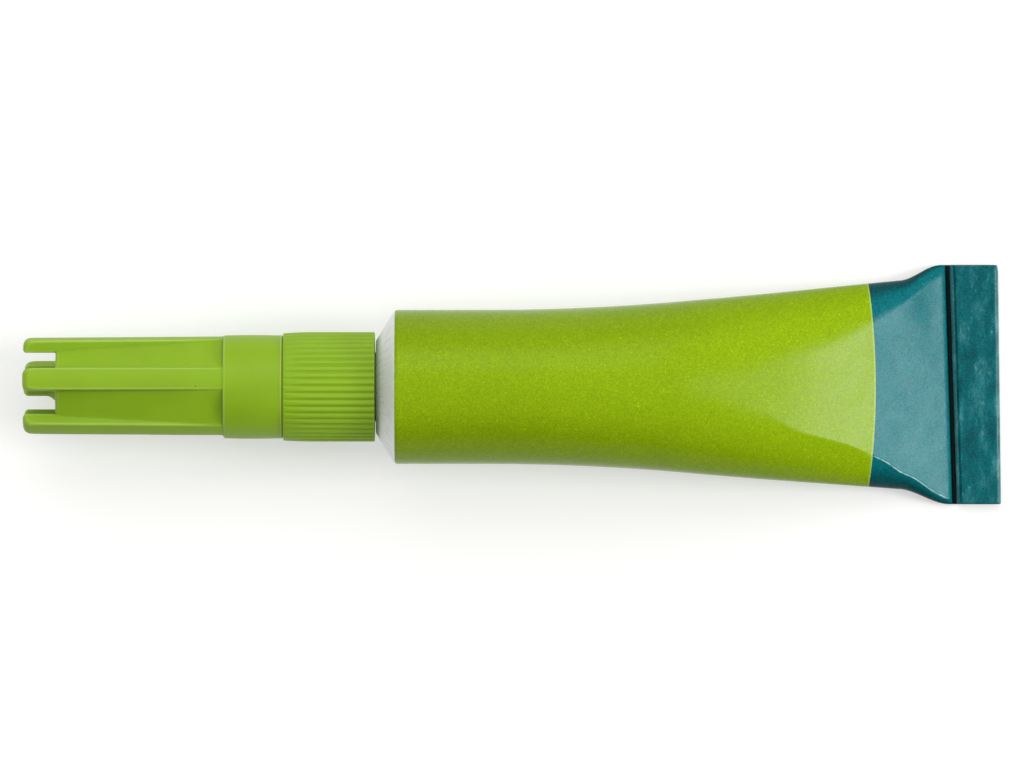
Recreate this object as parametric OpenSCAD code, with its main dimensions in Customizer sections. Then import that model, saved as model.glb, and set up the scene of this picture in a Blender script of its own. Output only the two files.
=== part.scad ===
// Small aluminium tube of gel glue with a screwed nozzle and a finned cap.
// Lengths are in millimetres. The tube lies along X with the cap at the low end, and Z is up.
// Places along the tube are counted from the shoulder rim: plus to the tail, minus to the cap.

/* [Tube sleeve] */
// Outer diameter of the round tube
tube_d = 13.5; // [12.5:0.1:16]
// Length from the shoulder rim to the folded end
tube_len = 53.2; // [46:0.1:66]
// Thickness of the sleeve wall
sleeve_wall = 0.12; // [0.1:0.01:0.2]
// Length of sleeve behind the rim that stays round
round_len = 8; // [5:0.5:12]
// Length of the flare ahead of the tail's flat lip
flare_len = 4.2; // [3:0.1:6]
// Length of the flat lip between the flare and the fold
lip_len = 0.7; // [0.4:0.1:1.5]
// Length of the flat wedge facet ahead of the fold
facet_len = 24; // [14:0.5:28]
// Share of the whole widening that is reached before the flare
widen_share = 0.64; // [0.5:0.01:0.75]
// Share of the widening stretch that eases in
ease_share = 0.47; // [0.3:0.01:0.7]

/* [Tail fold] */
// Width of the folded strip at the tail
fold_w = 4.1; // [3:0.1:6]
// Thickness of the sealing compound between the folded layers
seal_gap = 0.1; // [0.06:0.01:0.2]
// Thickness of sealing compound over the cut end of the sleeve
seal_end = 0.3; // [0.15:0.05:0.5]

/* [Shoulder and neck] */
// Half angle of the shoulder cone, from the tube's axis
cone_deg = 58.5; // [50:0.5:70]
// Thickness of the shoulder
shoulder_wall = 0.5; // [0.3:0.05:0.8]
// Radius of the bend at the rim of the shoulder
rim_round = 0.25; // [0.1:0.05:0.5]
// Root radius of the threaded neck
neck_r = 2.9; // [2.6:0.05:3.2]
// Radius of the bore through the neck
neck_bore_r = 2.3; // [1.8:0.05:2.4]
// Length of the neck ahead of its seat ring
neck_len = 5.9; // [5:0.1:8]
// Width of the flat seat ring around the thread's crest
seat_w = 0.75; // [0.5:0.05:1.2]
// Thickness of the foil over the mouth of the neck
foil_t = 0.1; // [0.05:0.01:0.2]
// Step from the edge of the foil to the edge of the mouth
foil_step = 0.1; // [0.05:0.05:0.3]

/* [Threads] */
// Pitch of the thread on the neck
neck_pitch = 1; // [0.8:0.05:1.25]
// Lead of the thread that holds the cap
cap_lead = 2; // [1.6:0.1:2.5]
// Height of both threads
thread_h = 0.4; // [0.3:0.05:0.5]
// Clearance of both threads at root and crest
thread_clear = 0.15; // [0.1:0.01:0.25]

/* [Nozzle] */
// Wall of the skirt from the thread's bore to the valleys of the grip
skirt_wall = 1.15; // [0.9:0.05:1.6]
// Height of the grip ridges
grip_h = 0.2; // [0.1:0.05:0.4]
// Number of grip ridges
grip_count = 48; // [36:1:60]
// Length of the skirt's narrowing front
skirt_taper = 2.5; // [1.5:0.1:4]
// Gap from the shoulder's seat ring to the skirt
skirt_gap = 0.1; // [0.05:0.05:0.4]
// Gap from the foil to the floor of the nozzle
foil_gap = 0.05; // [0.03:0.01:0.2]
// Thickness of the nozzle's floor
floor_t = 2.1; // [1.5:0.1:3]
// Length of the spout ahead of the skirt
spout_len = 17.2; // [14:0.1:22]
// Root radius of the spout's threaded part
spout_r = 2.75; // [2.5:0.05:3]
// Length of the spout's threaded part
spout_thread_len = 5.6; // [5:0.1:7]
// Radius of the spout's cone at its foot
spout_cone_r = 2.35; // [2:0.05:2.5]
// Radius of the spout's tip
spout_tip_r = 1.2; // [1:0.05:1.5]
// Radius of the flow bore at the floor
flow_r = 1.5; // [1.2:0.05:1.8]

/* [Anti-clog pin] */
// Radius of the pin
pin_r = 0.4; // [0.3:0.05:0.5]
// Clearance of the pin in the cap
pin_clear = 0.05; // [0.02:0.01:0.08]
// Clearance of the pin in the spout's tip
tip_clear = 0.15; // [0.1:0.01:0.3]
// Length of pin that enters the spout
pin_reach = 4; // [2:0.1:6]

/* [Cap] */
// Gap from the nozzle's skirt to the cap
cap_gap = 0.12; // [0.05:0.01:0.3]
// Wall of the collar outside its thread
collar_wall = 1.25; // [1:0.05:1.6]
// Length of the plain collar
collar_len = 5.1; // [4.8:0.1:7]
// Step from the collar down to the core
core_step = 0.2; // [0.1:0.05:0.4]
// Step from the collar down to the fins
fin_step = 0.13; // [0.08:0.01:0.3]
// Wall of the hollow core
core_wall = 1.15; // [0.9:0.05:1.4]
// Gap ahead of the spout's tip inside the cap
nose_gap = 0.5; // [0.3:0.1:1]
// Thickness of the end wall of the cap
end_wall = 2.2; // [1.8:0.1:3]
// Thickness left behind the pin's hole
pin_floor = 0.6; // [0.4:0.1:1]
// Number of fins
fin_count = 5; // [4:1:6]
// Width of a fin
fin_w = 1.94; // [1.4:0.02:2.4]
// Width of the fins at the back
back_fin_w = 1; // [0.8:0.02:2.4]
// Narrowing of the fins' radius from collar to crown
fin_taper = 0.12; // [0:0.02:0.3]
// Turn of the first fin from straight up
fin_turn = 10; // [0:1:72]
// Length of the crown of fins beyond the end wall
crown_len = 2.85; // [2:0.05:4]
// Clearance of the crown round the thread of the neck
crown_clear = 0.16; // [0.1:0.01:0.3]
// Lap of the crown on the end wall
crown_lap = 0.06; // [0.04:0.01:0.15]
// Rounding of the fins at the crown
crown_round = 0.45; // [0.2:0.05:0.6]
// Radius of the piercing spike
spike_r = 0.8; // [0.5:0.05:1]
// Flare at the foot of the spike
spike_foot = 0.4; // [0.2:0.05:0.6]

/* [Gel] */
// Length of sleeve that is filled behind the rim
fill_len = 20.5; // [14:0.5:28]
// Gap between the gel and the wall
gel_gap = 0.15; // [0.1:0.01:0.3]

/* [Hidden] */
$fn = 72;

// One overrun serves all cuts and one lap serves all joined solids
overrun = 0.5;
lap = 0.4;
// Stretch in which the flattened sleeve grows out of the round one
blend_len = 0.3;
// Points round the sleeve, and stations along its widening and its flare
ring_n = 48;
widen_n = 9;
flare_n = 7;
// Points of a small rounded edge and steps in one turn of a thread
round_n = 5;
turn_n = 24;
// Shares of the grip's pitch for one flank and one crest
flank_share = 0.16;
crest_share = 0.36;
// Shares of the thread's pitch for its half widths at foot and crest
foot_share = 0.26;
tip_share = 0.1;
// Share of a turn over which a thread fades at each end
fade_share = 0.3;
// Share of the lead that is kept free between a thread and the ends of its seat
free_share = 0.3;
// Share of the lap by which a thread's foot is sunk
foot_lap_share = 0.35;
// Share of the wall by which the sleeve is sunk into the parts that carry it
sink_share = 0.3;
// Share of the grip's height that is left at the skirt's front
front_share = 0.3;

// Tube sleeve
tube_r = tube_d / 2;
half_slit = PI * (tube_d - 2 * sleeve_wall) / 4 + sleeve_wall;
fold_x = tube_len - fold_w;
flare_end_x = fold_x - lip_len;
flare_x = flare_end_x - flare_len;
facet_x = fold_x - facet_len;
girth = PI * tube_d;

// Tail fold, with three double layers from the bottom up
layer_t = 2 * sleeve_wall;
fold_h = 3 * layer_t + 2 * seal_gap;
turn_r = fold_h / 2;
curl_r = layer_t + seal_gap / 2;
layer_end_x = tube_len - turn_r - seal_end;

// Shoulder and neck
neck_crest_r = neck_r + thread_h;
seat_r = neck_crest_r + seat_w;
seat_z = -(tube_r - seat_r) / tan(cone_deg);
mouth_z = seat_z - neck_len;
cone_shift = shoulder_wall / sin(cone_deg);
inner_r = tube_r - sleeve_wall;
throat_z = -(tube_r - neck_bore_r) / tan(cone_deg) + cone_shift;
inner_rim_z = -sleeve_wall / tan(cone_deg) + cone_shift;
neck_free = neck_pitch * free_share;
neck_thread_z = mouth_z + neck_free;

// Nozzle
socket_r = neck_crest_r + thread_clear;
valley_r = socket_r + skirt_wall;
grip_r = valley_r + grip_h;
skirt_end_z = seat_z - skirt_gap;
floor_z = mouth_z - foil_t - foil_gap;
front_z = floor_z - floor_t;
spout_crest_r = spout_r + thread_h;
tip_z = front_z - spout_len;
tip_bore_r = pin_r + tip_clear;
cone_z = front_z - spout_thread_len;
cap_free = cap_lead * free_share;
spout_thread_z = cone_z + cap_free;

// Cap
cap_bore_r = spout_crest_r + thread_clear;
collar_r = cap_bore_r + collar_wall;
rim_z = front_z - cap_gap;
collar_z = rim_z - collar_len;
cap_thread_z = cone_z - thread_clear;
cavity_z = tip_z - nose_gap;
end_z = cavity_z - end_wall;
crown_z = end_z - crown_len;
pin_seat_z = end_z + pin_floor;
crown_in_r = neck_crest_r + crown_clear;
core_end_r = crown_in_r + crown_lap;
core_r = collar_r - core_step;
fin_r = collar_r - fin_step;
fin_end_r = fin_r - fin_taper;

// The part stands with the middle of its length over the origin
mid_x = (tube_len + crown_z) / 2;

// Ease into a straight rise, then smooth rise from nought to one
function ease(u) = u <= 0 ? 0 : u < ease_share ?
    u * u / (2 * ease_share - ease_share * ease_share) :
    (2 * u - ease_share) / (2 - ease_share);
function smooth(u) = u <= 0 ? 0 : u >= 1 ? 1 : u * u * (3 - 2 * u);

// Half width of the sleeve, and half width of its flat facet
function half_w(x) = tube_r + (half_slit - tube_r) * (
    widen_share * ease(min(1, (x - round_len) / (flare_x - round_len))) +
    (1 - widen_share) * smooth((x - flare_x) / (flare_end_x - flare_x)));
function half_flat(x) = x <= facet_x ? 0 : (half_slit - sleeve_wall) * (x - facet_x) / facet_len;

// Half height of the sleeve, found by halving until its girth is that of the round tube
function oval(p, q) = PI * (3 * (p + q) - sqrt((3 * p + q) * (p + 3 * q)));
function seek(p, goal, low, high, n) = n == 0 ? (low + high) / 2 :
    oval(p, (low + high) / 2) > goal ?
    seek(p, goal, low, (low + high) / 2, n - 1) :
    seek(p, goal, (low + high) / 2, high, n - 1);
function half_h(x) = x <= round_len ? tube_r :
    max(sleeve_wall, seek(half_w(x) - half_flat(x), girth - 4 * half_flat(x), 0, tube_r, ring_n));

// One ring of the sleeve at x, with its skin moved in by t and its underside on the ground
function ring(x, w, h, flat, mid, n) = [
    for (i = [0 : n - 1])
    let (a = (i + 1 / 2) * 360 / n)
    [x, (cos(a) > 0 ? flat : -flat) + (w - flat) * cos(a), mid + h * sin(a)]];
function skin_ring(x, t, n) =
    ring(x, half_w(x) - t, half_h(x) - t, min(half_flat(x), half_w(x) - 2 * t), half_h(x), n);

// Triangles of a skin of n points a ring from one ring to another, facing out or in
function skin(first, rings, n, out) = [
    for (i = [0 : rings - 2], j = [0 : n - 1], k = [0, 1])
    let (
        a = first + i * n + j,
        b = first + i * n + (j + 1) % n,
        c = a + n,
        d = b + n)
    out ? (k == 0 ? [a, c, b] : [b, c, d]) : (k == 0 ? [a, b, c] : [b, d, c])];
function lid(first, n, out) = [[for (j = [0 : n - 1]) first + (out ? n - 1 - j : j)]];

// A rounded edge of radius r about a centre, from one angle to another
function corner(cx, cy, r, from, to) = [
    for (i = [0 : round_n])
    let (a = from + (to - from) * i / round_n)
    [cx + r * cos(a), cy + r * sin(a)]];

// Brings a piece made along Z onto the tube's axis, and the whole into the part's frame
module on_axis() {
    translate([-mid_x, 0, tube_r])
    rotate([0, 90, 0])
    children();
}

// A right-handed screw thread: a ridge between two radii that fades at both ends.
// An outside thread is sunk in at its inner radius, an inside thread at its outer radius.
module thread(inner_face, outer_face, outside, lead, from_z, to_z) {
    turns = (to_z - from_z) / lead;
    steps = ceil(turns * turn_n);
    fade_n = fade_share * turn_n;
    height = outer_face - inner_face;
    foot = lead * foot_share;
    tip = lead * tip_share;
    sunk = lap * foot_lap_share;
    points = [
        for (k = [0 : steps])
        let (
            a = 360 * turns * k / steps,
            f = smooth(min(k, steps - k) / fade_n),
            rise = height * f - sunk / 2 * (1 - f),
            r0 = outside ? inner_face - sunk : outer_face - rise,
            r1 = outside ? inner_face + rise : outer_face + sunk,
            h0 = outside ? foot : tip,
            h1 = outside ? tip : foot,
            z = from_z + (to_z - from_z) * k / steps,
            corners = [[r0, -h0], [r1, -h1], [r1, h1], [r0, h0]])
        for (c = corners)
        [c[0] * cos(a), c[0] * sin(a), z + c[1]]];
    sides = [
        for (k = [0 : steps - 1], q = [0 : 3], s = [0, 1])
        let (
            a = 4 * k + q,
            b = 4 * k + (q + 1) % 4)
        s == 0 ? [a, b, a + 4] : [b, b + 4, a + 4]];
    last = 4 * steps;
    ends = [[3, 2, 1, 0], [last, last + 1, last + 2, last + 3]];
    polyhedron(points, concat(sides, ends));
}

// The flattened sleeve, from inside the round sleeve's wall to inside the fold
module flat_sleeve() {
    n = ring_n;
    sink = sleeve_wall * sink_share;
    stations = concat(
        [round_len + blend_len],
        [for (i = [1 : widen_n]) round_len + (flare_x - round_len) * i / widen_n],
        [for (i = [1 : flare_n]) flare_x + (flare_end_x - flare_x) * i / flare_n]);
    count = len(stations);
    first = ring(round_len - lap, tube_r - sink, tube_r - sink, 0, tube_r, n);
    first_in = ring(round_len - lap, inner_r + sink, inner_r + sink, 0, tube_r, n);
    last = ring(fold_x + lap, half_slit - 2 * sink, sleeve_wall - sink, half_slit - sleeve_wall, sleeve_wall, n);
    outer = [for (x = stations) each skin_ring(x, 0, n)];
    inner = [for (i = [0 : count - 3]) each skin_ring(stations[i], sleeve_wall, n)];
    points = concat(first, outer, last, first_in, inner);
    outer_rings = count + 2;
    inner_rings = count - 1;
    inner_first = outer_rings * n;
    faces = concat(
        skin(0, outer_rings, n, true),
        skin(inner_first, inner_rings, n, false),
        lid((outer_rings - 1) * n, n, true),
        lid(inner_first + (inner_rings - 1) * n, n, false),
        [for (j = [0 : n - 1], k = [0, 1])
            let (
                a = j,
                b = (j + 1) % n)
            k == 0 ? [a, b, inner_first + a] : [b, inner_first + b, inner_first + a]]);
    translate([-mid_x, 0, 0])
    polyhedron(points, faces);
}

// Neck, shoulder and round sleeve, turned in one piece
module round_sleeve() {
    bend = rim_round * tan(cone_deg / 2);
    profile = concat(
        [[tube_r, round_len]],
        corner(tube_r - rim_round, bend, rim_round, 0, -cone_deg),
        [
            [seat_r, seat_z],
            [neck_r, seat_z],
            [neck_r, mouth_z],
            [neck_bore_r, mouth_z],
            [neck_bore_r, throat_z],
            [inner_r, inner_rim_z],
            [inner_r, round_len]]);
    on_axis()
    rotate_extrude()
    polygon(profile);
}

// The tail, folded over twice, seen from the side and drawn out to its width
module fold() {
    translate([-mid_x, half_slit, 0])
    rotate([90, 0, 0])
    linear_extrude(2 * half_slit) {
        translate([fold_x, 0])
        square([tube_len - turn_r - fold_x, layer_t]);
        translate([fold_x + curl_r, layer_t + seal_gap])
        square([layer_end_x - fold_x - curl_r, layer_t]);
        translate([fold_x + curl_r, fold_h - layer_t])
        square([tube_len - turn_r - fold_x - curl_r, layer_t]);
        translate([tube_len - turn_r, turn_r])
        half_ring(turn_r, turn_r - layer_t, 0);
        translate([fold_x + curl_r, fold_h - curl_r])
        half_ring(curl_r, seal_gap / 2, 180);
    }
}

// A half ring that bulges along X, or against it when turned
module half_ring(outer_r, hole_r, turn) {
    rotate(turn)
    difference() {
        circle(outer_r);
        circle(hole_r);
        translate([-2 * outer_r, -outer_r - overrun])
        square([2 * outer_r, 2 * (outer_r + overrun)]);
    }
}

module tube_shell() {
    color("yellowgreen") {
        round_sleeve();
        flat_sleeve();
        fold();
        on_axis()
        thread(neck_r, neck_crest_r, true, neck_pitch, neck_thread_z, seat_z - neck_free);
    }
}

module neck_membrane() {
    color("silver")
    on_axis()
    translate([0, 0, mouth_z - foil_t])
    cylinder(h = foil_t, r = neck_r - foil_step);
}

// Sealing compound round the cut end of the sleeve inside the fold
module tail_seal() {
    start_x = fold_x + 2 * curl_r;
    end_x = layer_end_x + seal_end / 2;
    low = layer_t;
    high = fold_h - layer_t;
    profile = [
        [start_x, low],
        [end_x, low],
        [end_x, high],
        [start_x, high],
        [start_x, high - seal_gap],
        [layer_end_x, high - seal_gap],
        [layer_end_x, low + seal_gap],
        [start_x, low + seal_gap]];
    color("wheat")
    translate([-mid_x, half_slit - layer_t, 0])
    rotate([90, 0, 0])
    linear_extrude(2 * (half_slit - layer_t))
    polygon(profile);
}

// Gel in the neck, the shoulder and the front of the sleeve
module glue_gel() {
    n = ring_n;
    neck_fill_r = neck_bore_r - gel_gap;
    round_fill_r = inner_r - gel_gap;
    t = sleeve_wall + gel_gap;
    rise = gel_gap * tan(cone_deg / 2);
    fronts = [
        [mouth_z + gel_gap, neck_fill_r],
        [throat_z + rise, neck_fill_r],
        [inner_rim_z + rise, round_fill_r],
        [round_len, round_fill_r]];
    tails = [for (i = [1 : widen_n]) round_len + (fill_len - round_len) * i / widen_n];
    points = concat(
        [for (f = fronts) each ring(f[0], f[1], f[1], 0, tube_r, n)],
        [for (x = tails) each skin_ring(x, t, n)]);
    rings = len(fronts) + len(tails);
    faces = concat(
        skin(0, rings, n, true),
        lid(0, n, false),
        lid((rings - 1) * n, n, true));
    color("ivory")
    translate([-mid_x, 0, 0])
    polyhedron(points, faces);
}

// Outline of the grip: a ring of ridges with flat crests
module grip_outline() {
    step = 360 / grip_count;
    outline = [
        for (i = [0 : grip_count - 1])
        for (p = [
            [0, valley_r],
            [flank_share, grip_r],
            [flank_share + crest_share, grip_r],
            [2 * flank_share + crest_share, valley_r]])
        let (a = (i + p[0]) * step)
        [p[1] * cos(a), p[1] * sin(a)]];
    polygon(outline);
}

// The skirt: the grip's outline inside a turned envelope with a narrowing front
module skirt() {
    front_r = valley_r + grip_h * front_share;
    intersection() {
        translate([0, 0, front_z])
        linear_extrude(skirt_end_z - front_z)
        grip_outline();
        rotate_extrude()
        polygon([
            [0, front_z],
            [front_r - grip_h, front_z],
            [front_r, front_z + grip_h],
            [grip_r + grip_h * front_share, front_z + skirt_taper],
            [grip_r + overrun, skirt_end_z + overrun],
            [0, skirt_end_z + overrun]]);
    }
}

module nozzle() {
    edge = spout_tip_r - tip_bore_r;
    color("olivedrab")
    on_axis() {
        difference() {
            union() {
                skirt();
                rotate_extrude()
                polygon([
                    [0, front_z + lap],
                    [spout_r, front_z + lap],
                    [spout_r, cone_z],
                    [spout_cone_r, cone_z - thread_h],
                    [spout_tip_r, tip_z + edge],
                    [spout_tip_r - edge / 2, tip_z],
                    [0, tip_z]]);
            }
            rotate_extrude()
            polygon([
                [0, skirt_end_z + overrun],
                [socket_r, skirt_end_z + overrun],
                [socket_r, floor_z],
                [flow_r, floor_z],
                [tip_bore_r, tip_z + pin_reach + nose_gap],
                [tip_bore_r, tip_z - overrun],
                [0, tip_z - overrun]]);
        }
        thread(
            neck_r + thread_clear, socket_r, false, neck_pitch,
            neck_thread_z + neck_pitch / 2, skirt_end_z - neck_free);
        thread(spout_r, spout_crest_r, true, cap_lead, spout_thread_z, front_z - cap_free);
    }
}

module anti_clog_pin() {
    color("silver")
    on_axis()
    rotate_extrude()
    polygon([
        [0, pin_seat_z],
        [pin_r, pin_seat_z],
        [pin_r, tip_z + pin_reach - pin_r],
        [pin_r / 2, tip_z + pin_reach],
        [0, tip_z + pin_reach]]);
}

// Fins inside a turned envelope, on the core and out past its end as a crown
module fins() {
    cut = fin_end_r - crown_round;
    intersection() {
        rotate_extrude()
        polygon(concat(
            [[crown_in_r, collar_z + lap], [fin_r, collar_z + lap]],
            corner(cut, crown_z + crown_round, crown_round, 0, -90),
            [[crown_in_r, crown_z]]));
        for (i = [0 : fin_count - 1]) {
            w = abs(i - fin_count / 2) < 1 ? back_fin_w : fin_w;
            rotate(180 - fin_turn - 360 * i / fin_count)
            translate([0, -w / 2, crown_z - overrun])
            cube([collar_r, w, collar_z - crown_z + 2 * overrun]);
        }
    }
}

module cap() {
    edge = core_step / 2;
    color("yellowgreen")
    on_axis() {
        difference() {
            union() {
                rotate_extrude()
                polygon([
                    [0, rim_z],
                    [collar_r - edge, rim_z],
                    [collar_r, rim_z - edge],
                    [collar_r, collar_z + edge],
                    [collar_r - edge, collar_z],
                    [core_r, collar_z],
                    [core_end_r, end_z],
                    [spike_r + spike_foot, end_z],
                    [spike_r, end_z - 2 * spike_foot],
                    [spike_r, crown_z + spike_r / 2],
                    [spike_r / 2, crown_z],
                    [0, crown_z]]);
                fins();
            }
            rotate_extrude()
            polygon([
                [0, rim_z + overrun],
                [cap_bore_r, rim_z + overrun],
                [cap_bore_r, cap_thread_z],
                [core_r - core_wall, cap_thread_z],
                [core_end_r - core_wall, cavity_z],
                [pin_r + pin_clear, cavity_z],
                [pin_r + pin_clear, pin_seat_z],
                [0, pin_seat_z]]);
        }
        thread(
            spout_r + thread_clear, cap_bore_r, false, cap_lead,
            spout_thread_z + cap_lead / 2, rim_z - cap_free);
    }
}

tube_shell();
neck_membrane();
tail_seal();
glue_gel();
nozzle();
anti_clog_pin();
cap();
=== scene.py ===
"""Dresses a small crimped aluminium tube of gel glue: printed sleeve, ribbed nozzle and finned cap."""

import logging
import math
from dataclasses import dataclass, field
from enum import Enum
from functools import partial
from typing import Any, Callable

import bmesh
import bpy
import numpy as np
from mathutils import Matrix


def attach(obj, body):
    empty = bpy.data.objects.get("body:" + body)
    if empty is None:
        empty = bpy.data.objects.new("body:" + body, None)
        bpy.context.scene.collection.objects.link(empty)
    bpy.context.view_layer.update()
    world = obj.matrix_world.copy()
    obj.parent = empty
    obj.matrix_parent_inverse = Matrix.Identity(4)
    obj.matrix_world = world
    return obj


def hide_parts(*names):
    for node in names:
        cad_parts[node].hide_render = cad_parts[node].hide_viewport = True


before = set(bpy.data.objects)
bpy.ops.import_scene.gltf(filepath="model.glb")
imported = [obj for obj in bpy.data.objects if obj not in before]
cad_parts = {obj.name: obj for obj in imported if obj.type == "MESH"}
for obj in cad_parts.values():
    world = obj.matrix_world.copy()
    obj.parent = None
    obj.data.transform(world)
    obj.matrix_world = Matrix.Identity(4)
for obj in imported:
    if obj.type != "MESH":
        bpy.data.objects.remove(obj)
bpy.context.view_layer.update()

LOG = logging.getLogger("glue_tube")
MM = 0.001
# Most values of a noise texture lie between these two
NOISE_SPAN = (0.3, 0.7)
WHITE = (1.0, 1.0, 1.0, 1.0)
Number = float | np.ndarray
Pair = tuple[float, float]
Trio = tuple[float, float, float]
Row = tuple[float, ...]
Faces = list[tuple[int, ...]]
Inputs = dict[Any, Any] | tuple[Any, ...]
Adder = Callable[..., bpy.types.Node]


class Body(Enum):
    """CAD bodies that the pieces ride on."""

    TUBE = "tube"
    NOZZLE = "nozzle"
    CAP = "cap"


class Slot(Enum):
    """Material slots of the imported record."""

    PRINTED_ALUMINIUM = "printed_aluminium"
    SEALING_COMPOUND = "sealing_compound"
    GEL = "gel"
    LIME_PLASTIC = "lime_plastic"


class Side(Enum):
    """The two edges of the flattened tail, by the sign of their place across the tube."""

    FAR = 1
    NEAR = -1


class Kind(Enum):
    """Kinds of shader nodes that the materials use, each with its one setting where it has one."""

    ADD = "ShaderNodeMath", "operation", "ADD"
    ARCTAN2 = "ShaderNodeMath", "operation", "ARCTAN2"
    COMPARE = "ShaderNodeMath", "operation", "COMPARE"
    MAXIMUM = "ShaderNodeMath", "operation", "MAXIMUM"
    MULTIPLY = "ShaderNodeMath", "operation", "MULTIPLY"
    MULTIPLY_ADD = "ShaderNodeMath", "operation", "MULTIPLY_ADD"
    SUBTRACT = "ShaderNodeMath", "operation", "SUBTRACT"
    SCALE = "ShaderNodeVectorMath", "operation", "SCALE"
    BLEND = "ShaderNodeMix", "data_type", "FLOAT"
    BLEND_COLOUR = "ShaderNodeMix", "data_type", "RGBA"
    RANGE = "ShaderNodeMapRange", "interpolation_type", "LINEAR"
    SMOOTH_RANGE = "ShaderNodeMapRange", "interpolation_type", "SMOOTHSTEP"
    ATTRIBUTE = ("ShaderNodeAttribute",)
    BACKGROUND = ("ShaderNodeBackground",)
    BUMP = ("ShaderNodeBump",)
    COMBINE = ("ShaderNodeCombineXYZ",)
    COORDINATES = ("ShaderNodeTexCoord",)
    LIGHT_PATH = ("ShaderNodeLightPath",)
    MAPPING = ("ShaderNodeMapping",)
    NOISE = ("ShaderNodeTexNoise",)
    OUTPUT = ("ShaderNodeOutputMaterial",)
    SPLIT = ("ShaderNodeSeparateXYZ",)
    SPLIT_COLOUR = ("ShaderNodeSeparateColor",)
    SURFACE = ("ShaderNodeBsdfPrincipled",)
    VORONOI = ("ShaderNodeTexVoronoi",)
    WORLD_OUTPUT = ("ShaderNodeOutputWorld",)


# Shared helpers


def linear(hex_colour: str) -> tuple[float, float, float, float]:
    """Turns an sRGB hex colour into linear light.

    Args:
        hex_colour: six hex digits, such as "97B40A".

    Returns:
        Red, green, blue and an alpha of one.
    """
    parts = [int(hex_colour[i : i + 2], 16) / 255 for i in (0, 2, 4)]
    light = [c / 12.92 if c <= 0.04045 else ((c + 0.055) / 1.055) ** 2.4 for c in parts]
    return (*light, 1.0)


def set_inputs(node: bpy.types.Node, inputs: Inputs) -> None:
    """Links or sets a node's inputs.

    Args:
        node: the node.
        inputs: sockets, nodes or values, in order or by name or number. A node gives its first output.
    """
    for key, value in inputs.items() if isinstance(inputs, dict) else enumerate(inputs):
        if isinstance(value, bpy.types.Node):
            value = next(socket for socket in value.outputs if socket.enabled)
        if isinstance(value, bpy.types.NodeSocket):
            node.id_data.links.new(value, node.inputs[key])
        else:
            node.inputs[key].default_value = value


def add_node(tree: bpy.types.NodeTree, kind: Kind, inputs: Inputs = (), **settings: Any) -> bpy.types.Node:
    """Adds a shader node with its settings and inputs.

    Args:
        tree: node tree that takes the node.
        kind: kind of node.
        inputs: what set_inputs takes.
        settings: more of the node's own properties.

    Returns:
        The new node.
    """
    name, *setting = kind.value
    node = tree.nodes.new(name)
    if setting:
        setattr(node, *setting)
    for key, value in settings.items():
        setattr(node, key, value)
    set_inputs(node, inputs)
    return node


def new_material(name: str) -> tuple[bpy.types.Material, Adder, bpy.types.Node]:
    """Starts a node material.

    Args:
        name: the material's name.

    Returns:
        The material, add_node bound to its tree, and its surface shader.
    """
    material = bpy.data.materials.new(name)
    material.use_nodes = True
    material.node_tree.nodes.clear()
    add = partial(add_node, material.node_tree)
    shader = add(Kind.SURFACE)
    add(Kind.OUTPUT, {"Surface": shader})
    return material, add, shader


def per_mm(grain_mm: float) -> float:
    """Scale of a pattern whose grains are so many millimetres across."""
    return 1 / (grain_mm * MM)


def smooth(u: Number) -> Number:
    """Rises smoothly from nought to one as u does."""
    v = np.clip(u, 0, 1)
    return v * v * (3 - 2 * v)


def mix(a: Number, b: Number, share: Number) -> Number:
    """Goes a share of the way from a to b."""
    return a + (b - a) * share


def bell(x: Number, middle: float, reach: float) -> Number:
    """Rises to one at a middle place, and fades over a reach on both sides of it."""
    return np.exp(-(((x - middle) / reach) ** 2))


def join_min(a: np.ndarray, b: np.ndarray, k: Number) -> np.ndarray:
    """Joins two distance fields with a fillet about k wide."""
    h = np.maximum(k - np.abs(a - b), 0) / k
    return np.minimum(a, b) - h * h * k / 4


def cut_max(a: np.ndarray, b: np.ndarray, k: Number) -> np.ndarray:
    """Keeps what two distance fields share, with a rounded edge about k wide."""
    return -join_min(-a, -b, k)


def make_mesh(
    name: str, points_mm: np.ndarray, faces: list[Any], sharp_deg: float = 180.0
) -> bpy.types.Object:
    """Makes a smooth-shaded mesh object in the part's frame.

    Args:
        name: the piece's name.
        points_mm: corner places in millimetres.
        faces: corner numbers of each face.
        sharp_deg: edges that bend more than this stay sharp.

    Returns:
        The new object, linked to the scene.
    """
    mesh = bpy.data.meshes.new(name)
    mesh.from_pydata((points_mm * MM).tolist(), [], faces)
    work = bmesh.new()
    work.from_mesh(mesh)
    bmesh.ops.recalc_face_normals(work, faces=work.faces)
    work.to_mesh(mesh)
    work.free()
    mesh.polygons.foreach_set("use_smooth", [True] * len(mesh.polygons))
    if sharp_deg < 180:
        mesh.set_sharp_from_angle(angle=math.radians(sharp_deg))
    piece = bpy.data.objects.new(name, mesh)
    bpy.context.scene.collection.objects.link(piece)
    return piece


def set_attribute(piece: bpy.types.Object, name: str, values: np.ndarray) -> None:
    """Stores one number for each corner of a piece, for its material to read."""
    layer = piece.data.attributes.new(name, "FLOAT", "POINT")
    layer.data.foreach_set("value", values.astype(np.float32))


def read_numbers(items: Any, name: str, shape: tuple[int, ...], kind: type = float) -> np.ndarray:
    """Reads one property of all corners, loops or faces of a mesh.

    Args:
        items: the mesh's collection of them.
        name: the property's name.
        shape: shape of the result.
        kind: kind of number.

    Returns:
        The numbers.
    """
    values = np.zeros(math.prod(shape), kind)
    items.foreach_get(name, values)
    return values.reshape(shape)


def ring_quads(first: int, second: int, n: int) -> Faces:
    """Quads between two closed rings of n corners that start at the given numbers."""
    return [(first + j, first + (j + 1) % n, second + (j + 1) % n, second + j) for j in range(n)]


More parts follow.
